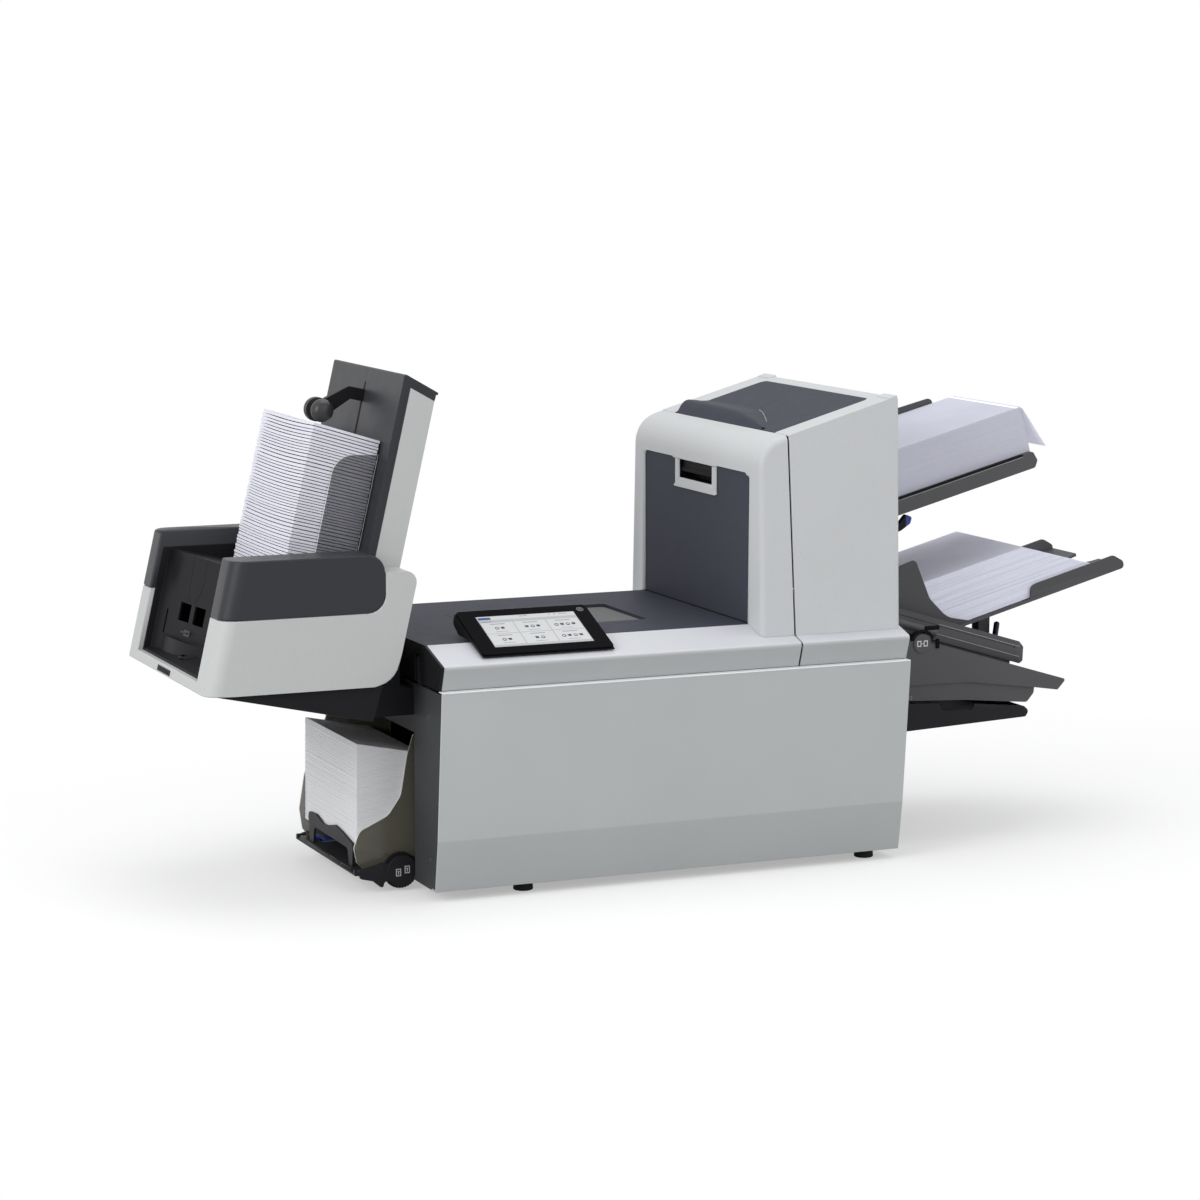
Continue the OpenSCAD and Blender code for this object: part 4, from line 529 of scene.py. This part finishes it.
special = {"output_pile", "hopper_pile", "upper_sheets", "middle_sheets", "tower_lid"}
finish_of_node = {
    "top_cover": deck_dark, "door_panel": deck_dark, "stacker_hood": hood_dark, "column": hood_dark,
    "upper_trims": trim_shell_shaded_front, "feeder_trim": trim_shell_shaded_front, "tower_door": tower_shell_painted_lighter,
    "tower_shell": tower_shell_painted_lighter, "pile_guides": clear_smoke, "pile_roller": ball_gloss,
    "upper_end_cap": black, "upper_lever": black, "lower_lever": night_blue, "unlock_handle": deep_black,
    "hopper_tray": scoop_dark, "divert_tray": scoop_dark, "upper_tray": plate_grey,
    "insert_frame": plate_grey, "insert_guide_near": plate_grey, "insert_guide_far": plate_grey}
USUAL_EDGE = 0.6
edge_of_node = {
    "tower_door": 0.5, "tower_shell": 1.4, "stacker_shell": 2.2, "stacker_hood": 2.6, "stacker_base": 1.5,
    "upper_trims": 1.2, "feeder_trim": 1.2, "front_panel": 0.9, "rear_panel": 0.9, "display_housing": 1.5,
    "display_glass": 0.7, "column": 1.4, "hopper_guide_near": 0.7, "hopper_guide_far": 0.7,
    "upper_tray": 1.2, "middle_tray": 1.0, "insert_guide_near": 1.2, "insert_guide_far": 1.2,
    "insert_frame": 0.9, "divert_tray": 1.0}
bright_rim = dict(rim=clear_edge, other=clear_rim_painted_highlight)
soft_crease = dict(broad=trim_crease, broad_edge=6)
more_of_node = {
    "tower_door": dict(broad=door_rim, broad_edge=9), "tower_shell": dict(broad=shell_end, broad_edge=5),
    "upper_trims": soft_crease, "feeder_trim": soft_crease,
    "pile_guides": bright_rim, "hopper_guide_near": bright_rim, "hopper_guide_far": bright_rim,
    "upper_lever": dict(split=(BLUE_FROM, (1, 0, 0)), rim=lever_inlay, other=blue_plastic),
    "door_panel": dict(rim=shaded_handle_cup, other=deep_black)}
for node in nodes:
    if node not in special:
        finish = finish_of_node.get(node, finish_of_slot[slot_of_node[node]])
        edged(node, finish, edge_of_node.get(node, USUAL_EDGE), **more_of_node.get(node, {}))


# Paper

rng = random.Random(11)


def leaf(bm, x0, x1, y0, y1, z0, z1, cuts):
    """One leaf or envelope, cut across its length so that it can bow."""
    made = block(bm, x0, x1, y0, y1, z0, z1)
    if cuts:
        along = [e for e in edges_at(made) if abs(e.verts[0].co.y - e.verts[1].co.y) > 1e-6]
        bmesh.ops.subdivide_edges(bm, edges=along, cuts=cuts)


def leaves(bm, count, low, high, slip, x0, x1, half, gap, lean=0.0, cuts=0, uneven=0.0):
    """A stack of leaves that lie a little out of line with each other; gap is a share of each leaf."""
    parts = [1 + rng.uniform(-uneven, uneven) for _ in range(count)]
    unit = (high - low) / sum(parts)
    z = low
    for part in parts:
        dx = rng.uniform(-slip, slip) + lean * (z - low)
        dy = rng.uniform(-slip, slip)
        leaf(bm, x0 + dx, x1 + dx, -half + dy, half + dy, z, z + part * unit * (1 - gap), cuts)
        z += part * unit


# The output pile is made one unit high, then raised to its sloping top, with envelopes that sag in the middle
PILE_LOW = -15.2
PILE_HIGH, PILE_FALL, ENVELOPE_WIDE, SAG = 210.8, 8, 104.8, 2.2
bm = bmesh.new()
leaves(bm, 50, 0.0, 1.0, 0.7, -105.9, -3.0, 119.8, gap=0.24, cuts=7, uneven=0.2)
for v in bm.verts:
    top = PILE_HIGH - (v.co.x + 2) * PILE_FALL / ENVELOPE_WIDE
    bow = SAG * (1 - (v.co.y / 120) ** 2) * min(1.0, v.co.z * 3)
    v.co.z = PILE_LOW + v.co.z * (top - PILE_LOW) - bow
pile = settle("filled_envelopes", bm, filled_paper, "base", "output_pile", place=STACK)
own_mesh(pile)

HOPPER_FLOOR, HOPPER_SLOPE = 62, 0.2035
bm = bmesh.new()
leaves(bm, 120, 0.4, 157.6, 0.3, -79.5, 22.2, 120.2, gap=0.1, lean=0.0127, uneven=0.3)
for v in bm.verts:
    v.co.z += HOPPER_FLOOR - (v.co.x + 80) * HOPPER_SLOPE
settle("blank_envelopes", bm, envelope_paper, "base", "hopper_pile", place=MACHINE)

SHEET_HALF = 107.6
bm = bmesh.new()
leaves(bm, 90, 0.5, 82.8, 0.12, 27.3, 305.9, SHEET_HALF, gap=0.03)
settle("upper_stack", bm, sheet_paper, "upper_sheets", "upper_sheets", place=UPPER_TRAY)

# The top sheet runs over the end of the upper stack and hangs down
hang = ((297, 82.9), (303, 82.8), (306.5, 81.9), (309, 79.2), (312.5, 71), (317, 59.5), (321.5, 46.5),
        (326, 34), (331, 21), (335.5, 9.5))
bm = bmesh.new()
strip = [bm.verts.new((u, -SHEET_HALF, n)) for u, n in hang]
fold = [bm.edges.new(ends) for ends in zip(strip, strip[1:])]
widened = bmesh.ops.extrude_edge_only(bm, edges=fold)["geom"]
across = [v for v in widened if isinstance(v, bmesh.types.BMVert)]
bmesh.ops.translate(bm, vec=(0, 2 * SHEET_HALF, 0), verts=across)
bmesh.ops.recalc_face_normals(bm, faces=bm.faces)
bmesh.ops.solidify(bm, geom=bm.faces[:], thickness=0.35)
settle("drooping_sheet", bm, droop_paper_painted_glow, "upper_sheets", place=UPPER_TRAY)

FAN_LEAN = -145 / 83
bm = bmesh.new()
leaves(bm, 70, 0.5, 82.8, 0.3, 178.4, 456.6, 107.3, gap=0.06, lean=FAN_LEAN, uneven=0.6)
settle("fanned_stack", bm, fan_paper_painted_lighter, "middle_sheets", "middle_sheets", place=MIDDLE_TRAY)


# Picture on the display and the sign on its button

LEFT, RIGHT, FOOT, HEAD = -77.0, 77.0, 19.0, 105.0
SIGN_LOW, SIGN_HIGH = 0.07, 0.1
BOX_WIDE, BOX_TALL, BOX_GAP = 49, 30, 2


def picture(name, finish, rects, low, high):
    bm = bmesh.new()
    for x0, y0, x1, y1 in rects:
        plate(bm, x0, x1, y0, y1, low, high)
    settle(name, bm, finish, "display", place=GLASS)


picture("screen_picture", screen_page, [(LEFT, FOOT, RIGHT, HEAD)], 0.02, 0.06)
signs_in_row = ((2, 2, 4), (2, 3, 4))
boxes, captions = [(LEFT, HEAD - 10.5, RIGHT, HEAD)], [
    (LEFT + 4, HEAD - 16, LEFT + 20, HEAD - 14.6), (-10, HEAD - 4.5, 2, HEAD - 3),
    (36, HEAD - 4.5, 38, HEAD - 2.5), (44, HEAD - 4.5, 47, HEAD - 2.5), (52, HEAD - 4.2, 66, HEAD - 2.8)]
signs = bmesh.new()
for row in range(2):
    for col in range(3):
        x0 = LEFT + 1.5 + col * (BOX_WIDE + BOX_GAP)
        y0 = FOOT + 6 + row * (BOX_TALL + BOX_GAP)
        x1, y1 = x0 + BOX_WIDE, y0 + BOX_TALL
        boxes.append((x0, y0, x1, y1))
        captions += [(x0 + 13, y1 - 5, x1 - 13, y1 - 3.6), (x0 + 15, y0 + 4, x1 - 15, y0 + 4.8)]
        count = signs_in_row[row][col]
        for k in range(count):
            cx = (x0 + x1) / 2 + (k - (count - 1) / 2) * 9
            cy = y0 + 14
            if (k + col) % 2:
                plate(signs, cx - 2.6, cx + 2.6, cy - 2.4, cy + 2.6, SIGN_LOW, SIGN_HIGH)
                plate(signs, cx - 3.2, cx + 3.2, cy + 2.0, cy + 3.0, SIGN_LOW, SIGN_HIGH)
            else:
                hoop(signs, (cx, cy, 0.08), 2.7, 0.5, steps=18, sides=6)
                plate(signs, cx - 2.2, cx + 2.2, cy - 3.4, cy - 2.4, SIGN_LOW, SIGN_HIGH)
picture("screen_boxes", screen_box, boxes, 0.06, 0.08)
picture("screen_captions", screen_soft_ink, captions, 0.08, 0.1)
settle("screen_signs", signs, screen_ink, "display", place=GLASS)
picture("screen_button", screen_blue, [(LEFT + 1.5, HEAD - 9.5, LEFT + 21, HEAD - 3)], 0.08, 0.11)

POWER_X, POWER_Y = 89.5, 110
bm = bmesh.new()
hoop(bm, (POWER_X, POWER_Y, 0.05), 5.0, 0.3)
hoop(bm, (POWER_X, POWER_Y, 0.05), 2.4, 0.28, 125, 415, 20)
plate(bm, POWER_X - 0.25, POWER_X + 0.25, POWER_Y + 0.6, POWER_Y + 3.2, -0.1, 0.3)
settle("power_sign", bm, ring_grey, "power_button", place=GLASS)


# Deck and base details

MAT_TOP, DECK_TOP = 366.5, 370.98
bm = bmesh.new()
slab(bm, round_rect(132, 396, -88, 78, 9), 366.02, MAT_TOP, 0.2)
settle("pocket_mat", bm, pocket_grey, "upper_unit", place=MACHINE)

bm = bmesh.new()
slab(bm, round_rect(130.3, 196, -89.7, 79.7, 3), MAT_TOP, DECK_TOP, 0.2)
settle("pocket_shelf", bm, deck_dark, "upper_unit", place=MACHINE)

# Ledges along the top of the side panels, painted near white as the highlight line they catch below the trims
bm = bmesh.new()
pair_of_plates(bm, 1, 751, 252, 269.6, 310.8, 312.5, 0.4, 2)
settle("panel_ledges", bm, lip_painted_highlight, "base", place=MACHINE)


# Tower details

bm = bmesh.new()
pair_of_plates(bm, 174, 188.4, 186, 227, -4.0, 1.4, 1.2, 3)
settle("roof_ears", bm, tower_shell_painted_lighter, "base", place=ROOF)

LID_START, LID_END, LID_HALF, LID_ROUND = 0.3, 164, 181, 11
LID_PIN = 161
bm = bmesh.new()
slab(bm, [(LID_START, -LID_HALF)] + arc(LID_END - LID_ROUND, LID_ROUND - LID_HALF, LID_ROUND, -90, 0, 8)
     + arc(LID_END - LID_ROUND, LID_HALF - LID_ROUND, LID_ROUND, 0, 90, 8) + [(LID_START, LID_HALF)],
     -3.0, 0.0, 0.5)
rod(bm, (LID_PIN, -LID_HALF + 12, -2.4), (LID_PIN, LID_HALF - 12, -2.4), 2.2)
rod(bm, (LID_PIN, -LID_HALF - 5.5, -2.0), (LID_PIN, LID_HALF + 5.5, -2.0), 1.7)

# Finger lip: a swell along the left edge that runs out in a crescent towards the front
LIP_START, LIP_WIDE, LIP_TALL = 0.5, 66, 13.6
swell = ((0.0, 0.0), (0.07, 0.2), (0.16, 0.62), (0.26, 0.93), (0.33, 1.0), (0.41, 0.96), (0.54, 0.7),
         (0.72, 0.32), (0.88, 0.08), (1.0, 0.0))
reach = ((177, 66), (120, 66), (60, 65), (30, 63.5), (-5, 61), (-30, 54.5), (-55, 45), (-78, 36),
         (-98, 27), (-118, 17), (-135, 8))
rows = []
for y, wide in reach:
    tall = LIP_TALL * (wide / LIP_WIDE) ** 0.7
    row = [bm.verts.new((LIP_START + wide * u, y, -0.2 + tall * n)) for u, n in swell]
    rows.append([bm.edges.new(ends) for ends in zip(row, row[1:])])
for front, back in zip(rows, rows[1:]):
    bmesh.ops.bridge_loops(bm, edges=front + back)
bmesh.ops.contextual_create(bm, geom=rows[0])
bmesh.ops.recalc_face_normals(bm, faces=bm.faces)
settle("finger_lid", bm, deck_dark, "tower_lid", "tower_lid", place=ROOF)

# A light grey rod along the crescent, painted as the highlight on the lip's crease.
bm = bmesh.new()
for (y0, w0), (y1, w1) in zip(reach[4:8], reach[5:9]):
    rod(bm, (LIP_START + w0, y0, 0.1), (LIP_START + w1, y1, 0.1), 0.7, 8)
settle("lip_crease", bm, bead_painted_highlight, "tower_lid", place=ROOF)

bm = bmesh.new()
for side in (-1, 1):
    middle = (LID_END - LID_ROUND, side * (LID_HALF - LID_ROUND))
    rounded = arc(*middle, LID_ROUND + 0.4, 0, side * 90, 8)
    slab(bm, ([(LID_END + 0.6, side * (LID_HALF + 0.6))] + rounded[::-1])[::side], -4.0, 0.0)
settle("lid_recess_corners", bm, tower_shell_painted_lighter, "base", place=ROOF)


# Stacker details

bm = bmesh.new()
plate(bm, -1.3, 1.0, -27, 36, 3.2, 11.6, 0.8, 2)
for k in range(9):
    plate(bm, -1.9, -1.0, -21 + k * 6, -18.4 + k * 6, 5.0, 9.8, 0.3)
settle("bay_latch", bm, black, "base", place=STACKER_FRONT)

RIDGE_ROUND, RIDGE_WIRE = 15, 2.4
bm = bmesh.new()
hoop(bm, (0, 0, 0), RIDGE_ROUND, RIDGE_WIRE, 90, 270, 20)
for y in (RIDGE_ROUND, -RIDGE_ROUND):
    rod(bm, (0, y, 0), (22, y, 3.4), RIDGE_WIRE)
settle("bay_ridge", bm, black, "base", place=BAY_FLOOR)

PRONG_Y = -97
bm = bmesh.new()
for k in (-5, 0, 5):
    rod(bm, (1, PRONG_Y + k, 60), (-7, PRONG_Y + k, 62), 1.5)
plate(bm, -1.6, 1.0, PRONG_Y - 8, PRONG_Y + 8, 56, 65, 0.7, 2)
settle("bay_prong", bm, charcoal, "base", place=BAY_PLATE)


# Hopper and feeder details; the signs on the discs are raised a little

PRINT = (-0.2, 0.35)
bm = bmesh.new()
for x, y in ((-6.5, -1.5), (7.0, 2.0)):
    outline_rect(bm, x - 3.8, x + 3.8, y - 5.4, y + 5.4, 0.9, *PRINT)
    plate(bm, x - 0.5, x + 0.5, y - 3, y + 2, *PRINT)
    plate(bm, x - 1.6, x + 1.6, y + 1.2, y + 2.2, *PRINT)
settle("hopper_sign", bm, icon_white, "base", place=HOPPER_DISC)

bm = bmesh.new()
plate(bm, -71.4, -34.6, 68.6, 107.4, 29.02, 29.5, 0.1)
outline_rect(bm, -75, -31, 65, 111, 2.6, 35.0, 35.9)
settle("lever_recess", bm, ring_grey, "base", place=MACHINE)

bm = bmesh.new()
for x in (-5.6, 5.6):
    outline_rect(bm, x - 3.6, x + 3.6, -4.6, 4.6, 1.5, *PRINT)
plate(bm, -1.4, 1.4, -0.5, 0.5, *PRINT)
settle("insert_sign", bm, icon_white, "base", place=INSERT_DISC)

# A light grey bead along the near rail of the upper tray, painted as the highlight on its top edge.
bm = bmesh.new()
rod(bm, (8, -118.3, 7.4), (286, -118.3, 7.4), 0.8)
settle("upper_rail_bead", bm, bead_painted_highlight, "base", place=UPPER_TRAY)

# A black strip inside the rail's top, painted as the shadow in the gap between the stack and the rail.
bm = bmesh.new()
plate(bm, 6, 287, -118.9, -110.8, 8.6, 11.2, 0.4)
settle("upper_rail_painted_shadow", bm, deep_black, "base", place=UPPER_TRAY)

bm = bmesh.new()
hoop(bm, (0, 0, -0.5), 19.6, 2.3, 20, 160, 20)
plate(bm, 24, 30, -9, 6, -3, 0.6, 0.8, 2)
plate(bm, 4, 30, 20, 27, -3, 0.6, 2.0, 3)
settle("insert_guard", bm, deep_black, "base", place=INSERT_DISC)

BAR_Y, BAR_START, BAR_NOTCH, BAR_END = 132.1, 766, 872, 1018
BEAD_LOW, BEAD_HIGH, BEAD = 14.5, 30.5, 0.9
INSERT_TOP, INSERT_SLOPE = 346, 0.305


def bar_bead(bm, y, start, height):
    """A light grey bead along a guide bar of the insert feeder, painted as a highlight line, at a height
    above the feeder's sloping side.
    """
    ends = [(x, y, INSERT_TOP - (x - BASE_END) * INSERT_SLOPE + height) for x in (start, BAR_END)]
    rod(bm, *ends, BEAD)


bm = bmesh.new()
bar_bead(bm, -BAR_Y, BAR_NOTCH, BEAD_HIGH)
bar_bead(bm, -BAR_Y, BAR_START, BEAD_LOW)
settle("near_bar_beads", bm, bead_painted_highlight, "insert_guide_near", place=MACHINE)

bm = bmesh.new()
bar_bead(bm, BAR_Y, BAR_START, BEAD_HIGH)
settle("far_bar_bead", bm, bead_painted_highlight, "insert_guide_far", place=MACHINE)


# Joint at the foot of the door, and screws, each set on the solid that it is driven into

def skin_of(node):
    solid = nodes[node].data
    return BVHTree.FromPolygons([v.co for v in solid.vertices], [p.vertices for p in solid.polygons])


foot = skin_of("door_panel").ray_cast(MACHINE @ Vector((400, 100, 373)), Vector((1, 0, 0)))[0]
foot_x = foot.x / MM + MIDDLE_X
bm = bmesh.new()
plate(bm, foot_x - 1.6, foot_x + 1.0, -194, 194, 370.9, 372.6, 0.4, 2)
settle("door_foot_joint", bm, deep_black, "upper_unit", place=MACHINE)

SCREW_R = 3.4


def screws(name, node, spots, aim, finish=screw_steel):
    """Pan-head screws with a round socket, each laid where a line from its spot along aim meets the solid."""
    skin = skin_of(node)
    head = bmesh.new()
    bmesh.ops.create_cone(head, cap_ends=True, segments=16, radius1=SCREW_R, radius2=SCREW_R * 0.82,
                          depth=2.2)
    top = max(head.faces, key=lambda f: f.calc_center_median().z)
    bmesh.ops.inset_individual(head, faces=[top], thickness=SCREW_R * 0.36)
    bmesh.ops.inset_individual(head, faces=[top], thickness=0.1, depth=-1.1)
    shape = bpy.data.meshes.new(name + "_head")
    head.to_mesh(shape)
    head.free()
    bm = bmesh.new()
    for spot in spots:
        point, normal, _, _ = skin.ray_cast(MACHINE @ Vector(spot), Vector(aim))
        if point is None:
            continue
        known = set(bm.verts)
        bm.from_mesh(shape)
        upright = normal.to_track_quat("Z", "Y").to_matrix().to_4x4()
        lay = Matrix.Translation(point) @ upright @ Matrix.Scale(MM, 4)
        bmesh.ops.transform(bm, matrix=lay, verts=[v for v in bm.verts if v not in known])
    bpy.data.meshes.remove(shape)
    settle(name, bm, finish, body_of_node[node])


screws("rear_screws", "rear_panel", [(x, 500, z) for x in (40, 260, 492, 712) for z in (120, 280)],
       (0, -1, 0))
screws("left_end_screws", "chassis", [(-600, y, z) for y in (-215, 215) for z in (60, 270)],
       (1, 0, 0), charcoal)
screws("right_end_screws", "chassis", [(1600, y, z) for y in (-230, 230) for z in (60, 170, 270)],
       (-1, 0, 0))
screws("column_screws", "column", [(400, y, z) for y in (-120, 120) for z in (520, 660)], (-1, 0, 0))
screws("tray_side_screws", "insert_frame", [(762, -400, 240), (762, -400, 322), (812, -400, 232)], (0, 1, 0))


# Stage, light and camera; places in metres

scene = bpy.context.scene
scene.view_settings.view_transform = "Standard"


def reckoned(tree, operation, a, b):
    """One number from two."""
    both = tree.nodes.new("ShaderNodeMath")
    both.operation = operation
    tree.links.new(a, both.inputs[0])
    tree.links.new(b, both.inputs[1])
    return both.outputs["Value"]


def blend(tree, share, first, second, surface):
    """Shows the second shader in this share, and the first in the rest."""
    mix = tree.nodes.new("ShaderNodeMixShader")
    tree.links.new(share, mix.inputs["Fac"])
    tree.links.new(first, mix.inputs[1])
    tree.links.new(second, mix.inputs[2])
    tree.links.new(mix.outputs["Shader"], surface)


def seen_plainly(tree):
    """One where a ray comes from the camera, a mirror or glass, and nought for scattered light."""
    path = tree.nodes.new("ShaderNodeLightPath")
    value = path.outputs["Is Camera Ray"]
    for more in ("Is Glossy Ray", "Is Transmission Ray"):
        value = reckoned(tree, "MAXIMUM", value, path.outputs[more])
    return value


def floor_finish():
    """White floor that keeps the shadow near the machine and runs out into pure white."""
    m, tree, shader, place = start_finish("floor_white")
    out = next(n for n in tree.nodes if n.type == "OUTPUT_MATERIAL")
    plain = seen_plainly(tree)
    tree.links.new(tinted(tree, plain, (0.5, 0.5, 0.5), (0.93, 0.93, 0.93)), shader.inputs["Base Color"])
    shader.inputs["Roughness"].default_value = 0.95
    shader.inputs["Specular IOR Level"].default_value = 0.0
    away = tree.nodes.new("ShaderNodeVectorMath")
    away.operation = "LENGTH"
    tree.links.new(stretched(tree, place, (0.62, 1.0, 1.0)), away.inputs[0])
    far = spread(tree, away.outputs["Value"], 0.4, 1.0, 0.45, 1.1)
    white = tree.nodes.new("ShaderNodeEmission")
    blend(tree, reckoned(tree, "MULTIPLY", far, plain), shader.outputs["BSDF"], white.outputs["Emission"],
          out.inputs["Surface"])
    return m


bm = bmesh.new()
bmesh.ops.create_grid(bm, x_segments=1, y_segments=1, size=30)
mesh = bpy.data.meshes.new("floor")
bm.to_mesh(mesh)
bm.free()
mesh.materials.append(floor_finish())
floor = bpy.data.objects.new("floor", mesh)
scene.collection.objects.link(floor)


def background(tree, colour, strength):
    b = tree.nodes.new("ShaderNodeBackground")
    b.inputs["Color"].default_value = (*colour, 1)
    b.inputs["Strength"].default_value = strength
    return b.outputs["Background"]


scene.world = bpy.data.worlds.new("studio")
scene.world.use_nodes = True
sky = scene.world.node_tree
sky.nodes.clear()
blend(sky, seen_plainly(sky), background(sky, (0.97, 0.98, 1), 0.74), background(sky, (1, 1, 1), 1.0),
      sky.nodes.new("ShaderNodeOutputWorld").inputs["Surface"])


def lamp(name, place, target, size, watts):
    data = bpy.data.lights.new(name, "AREA")
    data.shape = "RECTANGLE"
    data.size, data.size_y = size
    data.energy = watts
    o = bpy.data.objects.new(name, data)
    scene.collection.objects.link(o)
    o.location = place
    o.rotation_euler = (Vector(target) - Vector(place)).to_track_quat("-Z", "Y").to_euler()


lamp("key", (-3.3, -1.3, 1.7), (0, 0, 0.35), (2.2, 2.0), 58)
lamp("front", (1.4, -3.5, 1.9), (0.1, 0, 0.35), (2.4, 1.6), 15)
lamp("right", (3.3, -1.6, 1.5), (0.3, 0, 0.4), (1.8, 1.8), 18)
lamp("top", (0.3, 0.2, 3.6), (0, 0, 0.3), (2.8, 2.0), 28)

CAMERA_AZIMUTH, CAMERA_DROP = -23.04, 8.35
lens = bpy.data.cameras.new("photo_camera")
lens.lens = 102.1
lens.sensor_width = 36
lens.clip_end = 100
camera = bpy.data.objects.new("photo_camera", lens)
scene.collection.objects.link(camera)
camera.location = ((-1656.2 - MIDDLE_X) * MM, -4.7353, 1.145)
camera.rotation_euler = (math.radians(90 - CAMERA_DROP), 0, math.radians(CAMERA_AZIMUTH))
scene.camera = camera
